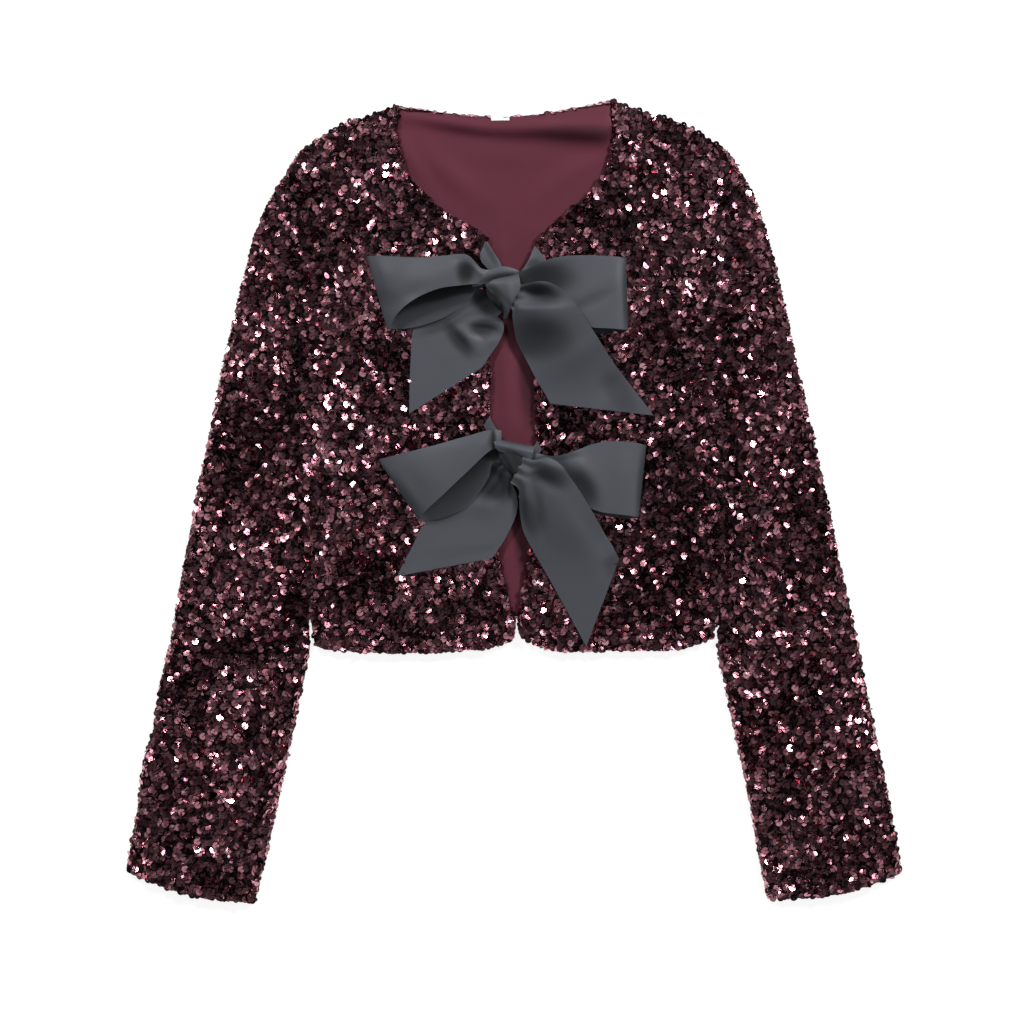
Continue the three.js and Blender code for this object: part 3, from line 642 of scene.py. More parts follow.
# Ribbons: a row holds the two edges of the ribbon, top and low, and how far its middle stands proud
ribbonRowsOf = {
    "upper_loop_left": [
        (-28.5, 201, 16, -28.8, 188, 16.5, 1.5), (-41, 212.5, 15.5, -45.5, 186, 19, 2),
        (-60, 212, 14.5, -65, 183, 20, 2), (-82, 210.5, 13, -86, 174, 18.5, 2),
        (-104, 211.5, 12, -100, 163, 15.5, 1.5), (-119, 212.5, 11.9, -106.5, 154, 13.2, 1),
        (-128.3, 212.2, 10.5, -110.3, 149.5, 11.4, 0.6), (-121, 211.5, 9.2, -105, 149, 9.8, 0),
        (-106, 211, 9.7, -94, 149.3, 10.8, 0), (-90, 210.5, 10.8, -80, 152, 11.6, 0),
        (-74, 209.5, 11.4, -65, 157, 12, 0), (-58, 207, 11.6, -51.5, 164, 12, 0),
        (-42, 203, 11.8, -40, 173, 12, 0), (-29.5, 196, 12, -29.5, 185, 12, 0.4),
    ],
    "upper_loop_right": [
        (5.6, 198.5, 15, 6.2, 186, 14.6, 0.8), (15, 202, 14.4, 14, 179, 14.2, 1),
        (27, 207.3, 14.2, 27, 170.5, 13.8, 1.4), (41, 211, 13.8, 45, 160.5, 13.4, 1.6),
        (59, 212.6, 13.4, 66, 150.5, 13, 1.6), (79.5, 212.2, 12.8, 84, 149.2, 12.6, 1.2),
        (92, 211.4, 12, 93, 148.5, 12, 0.8), (97.6, 210.4, 9.7, 99, 148, 9.7, 0.4),
        (92, 209.6, 8.2, 92, 146, 8.2, 0), (76, 209.6, 8.3, 74, 145.6, 8.3, 0), (56, 209, 9.1, 54, 149, 8.9, 0),
        (36, 205, 9.9, 36, 161, 9.5, 0), (18, 199.5, 10.7, 18, 175, 10.1, 0), (6.2, 196, 12, 6.8, 184.5, 11.6, 0.2),
    ],
    "upper_tail_left": [
        (-29, 184, 8.1, -14, 159.5, 8.3, 0), (-45.5, 185, 7.9, -9.5, 155, 8.9, 0.3),
        (-67, 180, 7.8, -9, 148, 9.3, 0.5), (-82, 167, 7.7, -11.5, 141, 9.1, 0.6),
        (-88, 148.5, 7.9, -15, 134.5, 8.9, 0.6), (-90, 124, 8.3, -20, 127.5, 8.7, 0.8),
        (-91, 99.5, 8.5, -24, 121.5, 8.5, 0.4), (-91.4, 75.3, 9.3, -28, 115.5, 8.7, 0.2),
    ],
    "upper_tail_right": [
        (8, 187, 21.5, -1.6, 165.5, 16.5, 1.5), (27, 189.2, 23, -1.4, 160, 14, 2.5),
        (41, 183, 22.8, -0.4, 152.5, 12, 3), (55, 168, 21.5, 2.6, 138, 10.8, 2.5),
        (70, 145.3, 18.5, 12.3, 119, 9.6, 1.8), (86.5, 120, 12.4, 22, 100.5, 9.4, 1.2),
        (99.8, 102.4, 11, 28, 91, 9.4, 0.8), (121.6, 73.5, 13.4, 31.5, 84, 9.4, 0.4),
    ],
    "upper_tie_left": [
        (-24.5, 227.5, 6.5, -29.5, 215, 9.8, 0.2), (-18.5, 217.5, 8, -29, 209, 10, 1.2),
        (-12, 207, 11, -24, 202.5, 11, 0.8), (-9.5, 199.8, 12.6, -19, 197.7, 12.2, 0),
    ],
    "upper_tie_right": [
        (18, 221.5, 7, 27, 211.5, 10, 0.2), (14, 212, 8.6, 24, 206, 10.2, 1),
        (9.5, 203.5, 10, 15, 199, 10.6, 0.5), (5.2, 198, 10.6, 5.6, 192, 10.4, 0),
    ],
    "lower_loop_left": [
        (-18.6, 61, 15, -18.6, 44, 16.5, 1), (-43, 54.7, 14.4, -42, 23, 19.5, 2), (-67, 48, 13.4, -62, 4, 19, 2),
        (-92, 41.6, 13, -74, -7, 16, 1.6), (-109, 37.4, 13, -79.5, -13, 13.4, 1),
        (-118, 35, 12.4, -82.5, -18.4, 11.4, 0.6), (-110, 35.5, 11, -76, -18.4, 9.6, 0),
        (-97, 38, 10.6, -65.5, -17, 10.6, 0), (-82, 42, 11, -51, -11.5, 11.6, 0),
        (-66, 46, 11.4, -40, -4.5, 11.8, 0), (-49, 49, 11.6, -31, 6, 11.9, 0), (-33, 51, 11.8, -22, 20, 12, 0.2),
        (-19.5, 50, 12.2, -18.8, 31, 12.2, 0.4),
    ],
    "lower_loop_right": [
        (18.4, 41, 15, 18.8, 29, 14.8, 0.8), (30, 38.2, 14.4, 32, 18, 14.2, 1), (43, 39.4, 14.2, 47, 5.5, 13.8, 1.4),
        (55, 43.3, 13.8, 62, -5, 13.4, 1.6), (68.5, 48.6, 13.4, 76, -10.5, 13, 1.6),
        (84, 51, 12.8, 91, -12.6, 12.6, 1.2), (102, 50.2, 13, 102, -14, 12, 0.8),
        (115, 47.6, 11.9, 108.4, -15, 10.1, 0.4), (108, 47.4, 10.3, 101, -16, 8.6, 0),
        (92, 48.6, 9.3, 86, -15, 8.7, 0), (70, 46.5, 9.5, 64, -9, 9.3, 0), (48, 41, 10.3, 44, 4, 9.9, 0),
        (30, 37.5, 11.1, 29, 17, 10.5, 0), (18.8, 38.5, 12, 19.2, 28, 11.6, 0.2),
    ],
    "lower_tail_left": [
        (-21, 33, 9.4, -1, 13.5, 9.6, 0), (-33, 21, 9.2, 2, 6, 9.4, 0.3), (-51.5, 5, 8.2, 3, -5, 9.7, 0.5),
        (-68, -9.5, 8.1, 1, -15.5, 9.5, 0.6), (-80.5, -25, 8.3, -4.5, -27.5, 9.3, 0.6),
        (-90, -43, 8.7, -10.5, -38.5, 9.1, 0.8), (-96.3, -55, 8.9, -15, -44.6, 8.9, 0.4),
        (-101.8, -66.5, 9.5, -19, -50.8, 9.1, 0.2),
    ],
    "lower_tail_right": [
        (17.5, 34.5, 21, 3.5, 10, 16.5, 1.5), (28.5, 36.8, 23, 4.6, 4, 14, 2.5),
        (38.5, 32, 22.6, 4.8, -6.5, 12, 3), (53.5, 13, 21, 8, -26.5, 10.8, 2.5),
        (67.5, -9, 17.5, 18, -46.5, 9.6, 1.8), (79.5, -30, 11.4, 30, -67.5, 9.4, 1.2),
        (87.5, -43, 9.8, 44.5, -93.5, 9.4, 0.8), (91.6, -51.6, 9.8, 63, -127.8, 9.6, 0.4),
    ],
    "lower_tie_left": [
        (-21.5, 73.5, 6.5, -26.5, 65, 9.8, 0.2), (-17.5, 65.5, 8.4, -23, 59, 10, 0.8),
        (-13, 59, 10.4, -17.5, 55.6, 10.2, 0.3), (-10, 55.2, 11.4, -15, 54.3, 11, 0),
    ],
    "lower_tie_right": [
        (20, 51.5, 7, 24.5, 44, 10, 0.2), (19, 49, 8, 22, 41, 10, 0.4), (17, 46.5, 9.6, 18.2, 41, 9.6, 0),
    ],
}
ribbonSettings = {"across": 32, "stepsPerRow": 8, "pleatWaves": 3, "pleatHigh": 0.9, "pleatLong": 3}

# Rows that carry a ribbon on into its knot, before its first row and after its last
ribbonRoots = {
    "upper_loop_left": [(-19.5, 199.5, 16.5, -20, 189, 17, 0.5), (-20, 194, 12.5, -20, 185, 12.5, 0.2)],
    "upper_loop_right": [(-3, 196, 15.5, -3, 187, 15.2, 0.4), (-3, 194, 12.5, -3, 184, 12, 0.2)],
    "upper_tail_left": [(-17, 183, 9.5, -8, 166, 9.5, 0), None],
    "upper_tail_right": [(-3, 187, 19, -7, 171, 17, 0.6), None],
    "lower_loop_left": [(-11, 60, 16, -11, 45, 16.5, 0.6), (-11, 49, 12.6, -11, 33, 12.6, 0.2)],
    "lower_loop_right": [(9, 41, 15.4, 9, 30, 15.2, 0.4), (9, 39, 12.4, 9, 29, 12, 0.2)],
    "lower_tail_left": [(-12, 42, 10.4, 6, 22, 10.4, 0), None],
    "lower_tail_right": [(8, 38, 19, -3, 15, 16, 0.6), None],
}

# Creases of each ribbon's upper layer: x, y, turn, half length, half width left and right, height
ribbonCreases = {
    "upper_loop_left": [
        (-42, 207, 4, 7.5, 4, 8, 4.6), (-41, 192, 0, 7, 7, 5, -2.4), (-33, 201, -42, 10, 3.5, 3, 2.0),
        (-108, 196, 78, 12, 14, 8, 1.6), (-92, 178, 22, 16, 8, 6, -1.4),
    ],
    "upper_loop_right": [
        (28, 210, 13, 26, 5, 11, 8.0), (24, 186, 0, 20, 10, 8, -1.2), (66, 172, 30, 20, 6, 5, -1.4),
        (90, 188, 90, 14, 7, 10, 0.8),
    ],
    "upper_tail_left": [
        (-42, 143, -48, 15, 8, 5, 4.2), (-27, 154, -6, 13, 4, 4.5, 2.4), (-25, 147, -12, 11, 4, 5, -3.0),
        (-17, 141, 62, 9, 4, 4, 1.6), (-48, 168, 10, 22, 8, 8, -1.4),
    ],
    "upper_tail_right": [
        (20, 190, -6, 18, 3.5, 6, 5.0), (20, 178, -10, 14, 6, 5, -5.0), (21, 165, 4, 22, 6, 17, 7.6),
        (26, 134, 40, 22, 12, 9, -2.4), (84, 99, 48, 14, 8, 8, -2.0), (58, 128, 34, 30, 9, 14, 2.6),
    ],
    "lower_loop_left": [
        (-86, 14, -56, 18, 9, 7, -1.2), (-46, 50, 16, 26, 5, 12, 1.8), (-21, 44, 84, 9, 4, 3, -1.6),
    ],
    "lower_loop_right": [
        (50, 30, -58, 17, 12, 6, 4.0), (58, 12, -62, 15, 6, 6, -2.6), (30, 39, 6, 15, 4, 8, 3.4),
        (92, 24, 84, 22, 7, 9, 0.9),
    ],
    "lower_tail_left": [
        (-20, 12, 54, 9, 3.6, 3, 2.2), (-13, 7, 56, 10, 4, 4, -2.6), (-6, 12, 72, 10, 3, 3.4, 2.6),
        (-40, -4, 20, 22, 8, 8, 1.2), (-24, -6, 8, 12, 6, 8, 1.4),
    ],
    "lower_tail_right": [
        (11, 6, -82, 20, 5, 5, 3.2), (20, -12, -78, 20, 6, 5, -3.8), (30, 30, -22, 14, 4, 8, 4.0),
        (84, -56, 40, 10, 6, 6, -1.6), (56, -30, -56, 34, 10, 16, 2.4), (28, 17, -30, 13, 5, 6, -2.6),
    ],
}
# Painted shade: where each ribbon's upper layer is painted dark in its folds, hollows and under other parts, and how
# dark the inside of a loop is painted below its upper layer
ribbonPaintedShade = {
    "upper_loop_left": [(-42, 197, 82, 12, 7.5, 0.74), (-110, 176, -20, 16, 8, 0.3), (-127, 190, -74, 24, 3.5, 0.45)],
    "upper_loop_right": [(25, 192, 2, 30, 14, 0.74), (67, 174, 25, 20, 5, 0.25), (98.5, 181, 90, 40, 4.6, 0.6)],
    "upper_tail_left": [(-22, 174, 0, 15, 14, 0.82), (-25.8, 151.5, 8, 15, 8, 0.72), (-48, 139, -52, 18, 7, 0.66),
                        (-60, 153, 20, 26, 5, 0.45)],
    "upper_tail_right": [(24, 179, -12, 17, 7.5, 0.72), (21, 140, 0, 31, 19, 0.6), (92, 93, -55, 24, 11, 0.35),
                         (60, 120, -50, 100, 48, 0.15)],
    "upper_tie_left": [(-20.5, 214.6, -62, 13, 3, 0.5)],
    "upper_tie_right": [(18, 204.8, 30, 7, 6, 0.5)],
    "lower_loop_left": [(-98, 2, -55, 27, 10, 0.45), (-18.4, 51.5, 90, 11, 2.8, 0.85)],
    "lower_loop_right": [(59, 11, -58, 21, 12.5, 0.72), (112, 17, 85, 40, 5, 0.6), (40, 37.5, 8, 20, 3.8, 0.5)],
    "lower_tail_left": [(-17, 15, -30, 20, 17, 0.8), (1.5, -4, 86, 22, 2.5, 0.4)],
    "lower_tail_right": [(14.2, -14.6, -68, 19, 8, 0.6), (32, 21, -20, 17, 10.5, 0.55), (87, -58, 40, 11, 9, 0.4),
                         (45, -50, -62, 105, 48, 0.13)],
    "lower_tie_left": [(-21, 65, 0, 7, 8, 0.4)],
    "lower_tie_right": [(19, 46, 0, 6, 6, 0.3)],
    "upper": [(-17, 175, -55, 17, 6.5, 0.75), (-8, 195, 6, 14, 2.5, 0.5)],
    "upper_roll": [(-10, 192.5, 8, 20, 4.6, 0.75)],
    "lower": [(-4, 34.5, -18, 17, 5.5, 0.82), (9.5, 22, -84, 11, 3, 0.65), (0, 50, -12, 18, 2, 0.5),
              (-7, 27, -30, 15, 9, 0.55)],
}
loopInsidePaintedShade = (0.14, 0.6)

loopPuff = {"upper_loop_left": 6.5, "upper_loop_right": 3.5, "lower_loop_left": 6, "lower_loop_right": 3.5}

# The band that wraps each knot, from its upper end over the top to its lower end
knotWraps = {
    "upper": [
        (-21, 191, 12.5, 2, 196.5, 12.5, 0), (-26.2, 190.5, 17, 3.4, 197.6, 17.2, 0.6),
        (-24.6, 186, 20.6, 5, 191, 21, 1), (-20.5, 180.7, 21.4, 5.4, 184, 22, 1.2),
        (-12.5, 173.6, 20.6, 0.2, 174, 21, 1), (-9, 165.5, 17.4, -3.4, 166, 17.6, 0.6),
        (-9.4, 158, 12.4, -5.6, 158, 12.4, 0.2),
    ],
    "lower": [
        (-15, 50, 13, 13, 44, 13, 0), (-17.6, 53.2, 17, 17, 46.4, 17.5, 0.4),
        (-17, 48.4, 20.8, 16.8, 41.5, 21.4, 0.8), (-14.6, 43.6, 20, 15.4, 36.6, 21, 0.8),
        (2, 34.4, 17, 15, 32, 20, 0.4), (6.6, 27, 17, 14.4, 25, 18.6, 0.3),
        (5.6, 14, 16, 11.6, 13, 17, 0.2), (4, 1.5, 14, 6.2, 1, 14.6, 0),
    ],
}
# Rolled edge of the ribbon that lies over the top of the upper knot
knotWraps["upper_roll"] = [
    (-37, 187.6, 17.4, -36, 184.8, 17.4, 0), (-29, 193.4, 21, -26, 187.5, 20.4, 0.6),
    (-20, 199.6, 21.6, -17, 190.5, 19.6, 1.6), (-12, 202.6, 21, -10.6, 192, 19, 1.8),
    (-4, 201.8, 20, -3.6, 193.5, 18.6, 1.2), (4, 199.4, 17.6, 4, 194.4, 17, 0.4),
]
wrapCreases = {
    "upper": [(-20, 182, -42, 9, 3, 2, -1.4), (-3, 175, -76, 13, 4, 3, 1.2), (-12, 190, 4, 13, 3, 7, 1.6),
              (-12, 178, -50, 12, 2.4, 3, -1.2)],
    "lower": [(-2, 46, -11, 16, 3, 4, 1.0), (3, 37.5, -24, 12, 2.4, 2, -2.2), (12.5, 26, -84, 12, 2.2, 2.2, 1.0)],
}


def ribbonGrid(name, rows, creases, layerShare, pleated, stepsPerRow):
    s = ribbonSettings
    table = np.array(rows, float)
    steps = len(rows) - 1

    def place(u, v):
        spot = lerp(curveAt(table[:, :3], v), curveAt(table[:, 3:6], v), u[:, None])
        crown = np.interp(v * steps, np.arange(len(rows)), table[:, 6])
        spot[:, 2] += crown * np.sin(math.pi * u)
        if pleated:
            nearKnot = np.maximum(1 - v * steps / s["pleatLong"], 0)
            spot[:, 2] += s["pleatHigh"] * nearKnot * np.sin(math.tau * s["pleatWaves"] * u)
        layer = smooth((layerShare - v) / 0.08) if layerShare < 1 else 1
        puff = np.sin(math.pi * np.clip(v / layerShare, 0, 1)) ** 0.8 * loopPuff.get(name[7:], 0)
        spot[:, 2] += puff + layer * creaseHeight(creases, spot[:, 0], spot[:, 1])
        spot[:, 2] = np.maximum(spot[:, 2], 9.1 if pleated else 0)
        return spot

    # Painted shade for the ribbon: its rows darken the upper layer, and the inside of a loop is painted darkest under
    # the upper layer, lighter towards the free edge
    def shade(u, v, spots):
        dark = paintedFoldShade(ribbonPaintedShade.get(name.split("_", 1)[1], []), spots[:, 0], spots[:, 1])
        inside = lerp(*loopInsidePaintedShade, smooth((u - 0.5) / 0.5))
        return np.where(v > layerShare, inside, dark) if layerShare < 1 else dark

    return gridPiece(name, s["across"], steps * stepsPerRow, place, (63, 16 * steps), shade=shade)


def makeRibbon(name, rows):
    before, after = ribbonRoots.get(name, (None, None))
    rows = ([before] if before else []) + list(rows) + ([after] if after else [])
    turn = int(np.argmax(np.abs([row[0] for row in rows]))) / (len(rows) - 1) if "loop" in name else 1
    piece = ribbonGrid(f"ribbon_{name}", rows, ribbonCreases.get(name, []), turn, "tail" in name,
                       ribbonSettings["stepsPerRow"])
    thicken(piece, cloth["ribbonThick"], 0)
    dress(piece, ribbonSatin, name)
    return piece


def makeWrap(name, rows):
    piece = ribbonGrid(f"wrap_{name}", rows, wrapCreases.get(name, []), 1, False, 10)
    thicken(piece, cloth["ribbonThick"], 0)
    dress(piece, ribbonSatin)
    return piece


ribbonPieces = {name: makeRibbon(name, rows) for name, rows in ribbonRowsOf.items()}

knots = {
    "upper": {"x": -12.5, "y": 181, "z": 16, "halfX": 15.9, "halfY": 18.6, "halfZ": 7.4, "lean": 0.22},
    "lower": {"x": -0.1, "y": 35, "z": 15.6, "halfX": 17.3, "halfY": 19.2, "halfZ": 7, "lean": 0.34},
}
knotGroove = 0.05
coreShare = 0.7 # the wad inside the wrap


def makeKnot(name, k):
    bm = bmesh.new()
    bmesh.ops.create_uvsphere(bm, u_segments=64, v_segments=40, radius=1)
    uvLayer = bm.loops.layers.uv.new("cut")
    for face in bm.faces:
        face.smooth = True
        for loop in face.loops:
            loop[uvLayer].uv = (loop.vert.co.x * 0.02, loop.vert.co.y * 0.02)
    for vert in bm.verts:
        unit = vert.co.copy()
        taper = 1 + k["lean"] * unit.y
        groove = 1 - knotGroove * math.cos(unit.x * 9 + unit.y * 3)
        vert.co = Vector((
            k["x"] + coreShare * k["halfX"] * (unit.x * taper * groove - k["lean"] * unit.y * 0.5),
            k["y"] + coreShare * k["halfY"] * unit.y * groove,
            k["z"] + coreShare * k["halfZ"] * unit.z * groove)) * mm
    mesh = bpy.data.meshes.new(f"knot_{name}")
    bm.to_mesh(mesh)
    bm.free()
    # The wad is painted dark all over, painted shade for where it lies under the wrap
    setPaintedShade(mesh, np.full(len(mesh.vertices), 0.22))
    piece = bpy.data.objects.new(f"knot_{name}", mesh)
    bpy.context.collection.objects.link(piece)
    return dress(piece, ribbonSatin, f"{name}_knot")


knotPieces = {name: makeKnot(name, k) for name, k in knots.items()}
wrapPieces = {name: makeWrap(name, rows) for name, rows in knotWraps.items()}
print("jacket: bows tied")

# Blank label at the middle of the back neck
labelSettings = {"x": -12, "y": 333.4, "wide": 16, "long": 5, "gap": 0.15}


def makeLabel():
    s = labelSettings

    def place(u, v):
        x = s["x"] + (u - 0.5) * s["wide"]
        y = s["y"] + (v - 0.5) * s["long"]
        return np.column_stack([x, y, liningLow(x, y) + cloth["liningThick"] + s["gap"]])

    piece = gridPiece("labelPiece", 16, 6, place, (16, 5))
    thicken(piece, 0.5, 1)
    dress(piece, labelTape, "neck_label")
    return piece


labelPiece = makeLabel()

# Sequins
sequin = {
    "round": 3.0, "hole": 0.5, "cup": 0.09, "sides": 12, "threadAim": -105, "threadTurn": 34,
    "rowStep": 3.3, "sideStep": 4.4, "jitter": 0.8, "shingle": 9, "tilt": 22, "lift": 0.6, "pile": 0.9,
    "slowTilt": 28, "slowSize": 16, "ribbonRoom": 4, "paintedDarkShare": 0.4, "catchLift": 1.1,
    "streak": 11, "streakLean": 7, "rimStep": 3.3, "rimTilt": 16, "floorGap": 0.1,
}
# How the nap lies, and where the sequins' tone is painted darker as painted shade: x, y, half width, half height, lean
# over x and y in degrees, share of tone lost
napsAndPaintedShade = [
    (-187, 100, 8, 215, 0, -12, 0.4), (185, 100, 8, 215, 0, -12, 0.4), (140, 20, 36, 105, -8, -12, 0.5),
    (-92, 122, 14, 26, 0, -10, 0.4), (45, 72, 42, 18, 0, -12, 0.35), (-62, 246, 38, 14, 0, -14, 0.35),
    (75, 246, 44, 16, 0, -14, 0.4), (-84, 266, 18, 20, 8, -10, 0.35), (-256, 60, 22, 130, 0, -8, 0.25),
    (262, 60, 22, 140, 0, -8, 0.3), (-72, 44, 36, 16, 0, -10, 0.25), (60, -60, 22, 20, 0, -8, 0.2),
    (-95, 240, 62, 50, 0, 0, 0.16), (115, 240, 66, 55, 0, 0, 0.26), (120, -40, 60, 60, 0, 0, 0.15),
]


def napAndPaintedShadeAt(x, y):
    lean, shade = np.zeros((len(x), 2)), np.ones(len(x))
    for napX, napY, halfX, halfY, leanX, leanY, lost in napsAndPaintedShade:
        share = np.exp(-(((x - napX) / halfX) ** 2) - ((y - napY) / halfY) ** 2)
        lean += share[:, None] * np.tan(np.radians([leanX, leanY]))
        shade *= 1 - lost * share
    return lean, shade



def sequinShape():
    bm = bmesh.new()
    bmesh.ops.create_circle(bm, segments=sequin["sides"], radius=sequin["round"])
    for vert in bm.verts:
        vert.co.z = sequin["cup"]
    ring = list(bm.edges)
    made = bmesh.ops.extrude_edge_only(bm, edges=ring)["geom"]
    for vert in (g for g in made if isinstance(g, bmesh.types.BMVert)):
        vert.co = (vert.co.x * sequin["hole"] / sequin["round"], vert.co.y * sequin["hole"] / sequin["round"], 0)
    bmesh.ops.recalc_face_normals(bm, faces=bm.faces)
    if sum(face.normal.z for face in bm.faces) < 0:
        bmesh.ops.reverse_faces(bm, faces=bm.faces)
    bm.verts.index_update()
    spots = np.array([v.co[:] for v in bm.verts])
    faces = np.array([[v.index for v in face.verts] for face in bm.faces])
    bm.free()
    return spots, faces


discSpots, discFaces = sequinShape()


# One mesh of many sequins: a place, a facing and a tone for each
def sequinMesh(name, places, facings, tones, draw):
    places, facings = np.array(places, float), np.array(facings, float)
    facings /= np.linalg.norm(facings, axis=1)[:, None]
    places[:, 2] += sequin["catchLift"] * (tones > 0.15)
    side = np.cross(facings, (-1, 0, 0))
    side /= np.linalg.norm(side, axis=1)[:, None]
    third = np.cross(facings, side)
    spin = np.radians(draw.normal(sequin["threadAim"], sequin["threadTurn"], len(places)))
    a = side * np.cos(spin)[:, None] + third * np.sin(spin)[:, None]
    b = np.cross(facings, a)
    spots = (places[:, None] + discSpots[None, :, :1] * a[:, None] + discSpots[None, :, 1:2] * b[:, None]
             + discSpots[None, :, 2:] * facings[:, None]) * mm
    faces = discFaces[None] + (np.arange(len(places)) * len(discSpots))[:, None, None]
    mesh = bpy.data.meshes.new(name)
    mesh.vertices.add(spots.shape[0] * spots.shape[1])
    mesh.vertices.foreach_set("co", spots.ravel())
    mesh.loops.add(faces.size)
    mesh.loops.foreach_set("vertex_index", faces.ravel())
    mesh.polygons.add(faces.shape[0] * faces.shape[1])
    mesh.polygons.foreach_set("loop_start", np.arange(0, faces.size, 4))
    mesh.polygons.foreach_set("use_smooth", np.ones(faces.shape[0] * faces.shape[1], bool))
    mesh.update(calc_edges=True)
    tone = mesh.attributes.new("tone", "FLOAT", "FACE")
    shown = np.repeat(tones[:, None], len(discFaces), 1)
    shown[:, 0] = 0
    tone.data.foreach_set("value", shown.ravel().astype(np.float32))
    mesh.validate()
    piece = bpy.data.objects.new(name, mesh)
    bpy.context.collection.objects.link(piece)
    dress(piece, sequinFoil)
    print(f"jacket: {name} has {len(places)} sequins")
    return piece


def treeOf(piece):
    graph = bpy.context.evaluated_depsgraph_get()
    shape = piece.evaluated_get(graph)
    mesh = shape.to_mesh()
    spots = [v.co / mm for v in mesh.vertices]
    tree = BVHTree.FromPolygons(spots, [p.vertices[:] for p in mesh.polygons])
    shape.to_mesh_clear()
    return tree


down = Vector((0, 0, -1))
up = Vector((0, 0, 1))


# Sequins over what of a cloth shows from above, in staggered rows; they lie flatter close below a ribbon
def topSequins(cloth_, covers, ribbons, low, high, draw):
    s = sequin
    spread = s["round"] * 0.8
    around = [(0, 0), (spread, 0), (-spread, 0), (0, spread), (0, -spread)]
    places, facings = [], []
    for row in range(int((high[1] - low[1]) / s["rowStep"]) + 1):
        for col in range(int((high[0] - low[0]) / s["sideStep"]) + 2):
            x = low[0] + (col + 0.5 * (row % 2)) * s["sideStep"] + draw.uniform(-1, 1) * s["jitter"]
            y = low[1] + row * s["rowStep"] + draw.uniform(-1, 1) * s["jitter"]
            tilts = np.tan(np.radians(draw.normal(0, s["tilt"], 2)))
            spot, normal, _, _ = cloth_.ray_cast(Vector((x, y, 60)), down)
            if not spot:
                continue
            over = [tree.ray_cast(Vector((x, y, 60)), down)[0] for tree in covers]
            if any(hit and hit.z > spot.z for hit in over):
                continue
            gaps = []
            for stepX, stepY in around:
                hits = (tree.ray_cast(spot + Vector((stepX, stepY, 0.1)), up) for tree in ribbons)
                gaps.append(min((hit[3] for hit in hits if hit[0]), default=99))
            if gaps[0] < s["ribbonRoom"]:
                continue
            loose = 0.2 if min(gaps) < s["ribbonRoom"] else 1
            places.append(spot + normal * (s["lift"] + draw.uniform(0, s["pile"])) * loose)
            facings.append((normal.x + tilts[0] * loose,
                            normal.y - (math.tan(math.radians(s["shingle"])) - tilts[1]) * loose,
                            max(normal.z, 0.2)))
    places, facings = np.array(places), np.array(facings)
    for axis in (0, 1):
        facings[:, axis] += math.tan(math.radians(s["slowTilt"])) * ripple(places[:, 0], places[:, 1],
                                                                           s["slowSize"], 40 + axis)
    waver = 4 * ripple(places[:, 0], places[:, 1], 30, 44)
    facings[:, 0] += math.tan(math.radians(s["streakLean"])) * np.sin(math.tau * (places[:, 0] + waver) / s["streak"])
    facings[:, :2] += napAndPaintedShadeAt(places[:, 0], places[:, 1])[0]
    return list(places), list(facings)


# A row of sequins along an edge, tilted out over it and kept off the floor
def rimSequins(points, away, tilt, draw):
    s = sequin
    points, away = np.asarray(points, float), np.asarray(away, float)
    run = np.concatenate([[0], np.cumsum(np.linalg.norm(np.diff(points[:, :2], axis=0), axis=1))])
    stops = np.arange(s["rimStep"] / 2, run[-1], s["rimStep"])
    spots = np.stack([np.interp(stops, run, points[:, i]) for i in range(3)], 1)
    out = np.stack([np.interp(stops, run, away[:, i]) for i in range(2)], 1)
    out /= np.maximum(np.linalg.norm(out, axis=1), 1e-6)[:, None]
    lean = np.radians(tilt + draw.normal(0, s["rimTilt"], len(stops)))
    twist = np.tan(np.radians(draw.normal(0, s["rimTilt"], len(stops))))
    side = np.stack([-out[:, 1], out[:, 0]], 1)
    flat = out * np.sin(lean)[:, None] + side * twist[:, None]
    facings = np.column_stack([flat, np.maximum(np.cos(lean), 0.12)])
    facings /= np.linalg.norm(facings, axis=1)[:, None]
    spots[:, :2] += draw.uniform(-0.6, 0.6, (len(stops), 2))
    reach = s["round"] * np.sqrt(1 - np.clip(facings[:, 2], 0, 1) ** 2) + s["floorGap"]
    spots[:, 2] = np.maximum(spots[:, 2], reach)
    return list(spots), list(facings)


# The points along one edge of a laid panel and the way out of it
def panelEdge(outline, steps, height, inward):
    line = edgeAt(outline, np.linspace(0, 1, steps))
    step = np.gradient(line, axis=0)
    out = np.stack([step[:, 1], -step[:, 0]], 1) * inward
    out /= np.linalg.norm(out, axis=1)[:, None]
    inner = line - out
    return np.column_stack([line, height(inner[:, 0], inner[:, 1])]), out


# Sequin tones: bright ones vary at random; a share is painted near-black as a painted reflection of the dark room, and
# the nap rows paint more shade by dimming tones and raising that share
def tonesOf(places, draw):
    spots = np.asarray(places)
    shade = napAndPaintedShadeAt(spots[:, 0], spots[:, 1])[1]
    bright = np.clip(draw.normal(0.48, 0.22, len(spots)) * (0.4 + 0.6 * shade), 0.17, 1)
    dark = draw.uniform(0, 1, len(spots)) > (1 - sequin["paintedDarkShare"]) * shade
    return np.where(dark, draw.uniform(0.03, 0.12, len(spots)), bright)


ribbonTrees = [treeOf(piece) for piece in list(ribbonPieces.values()) + list(wrapPieces.values())]
frontTrees = {hand: treeOf(piece) for hand, piece in frontCloths.items()}
sleeveTrees = {hand: treeOf(piece) for hand, piece in sleeveCloths.items()}


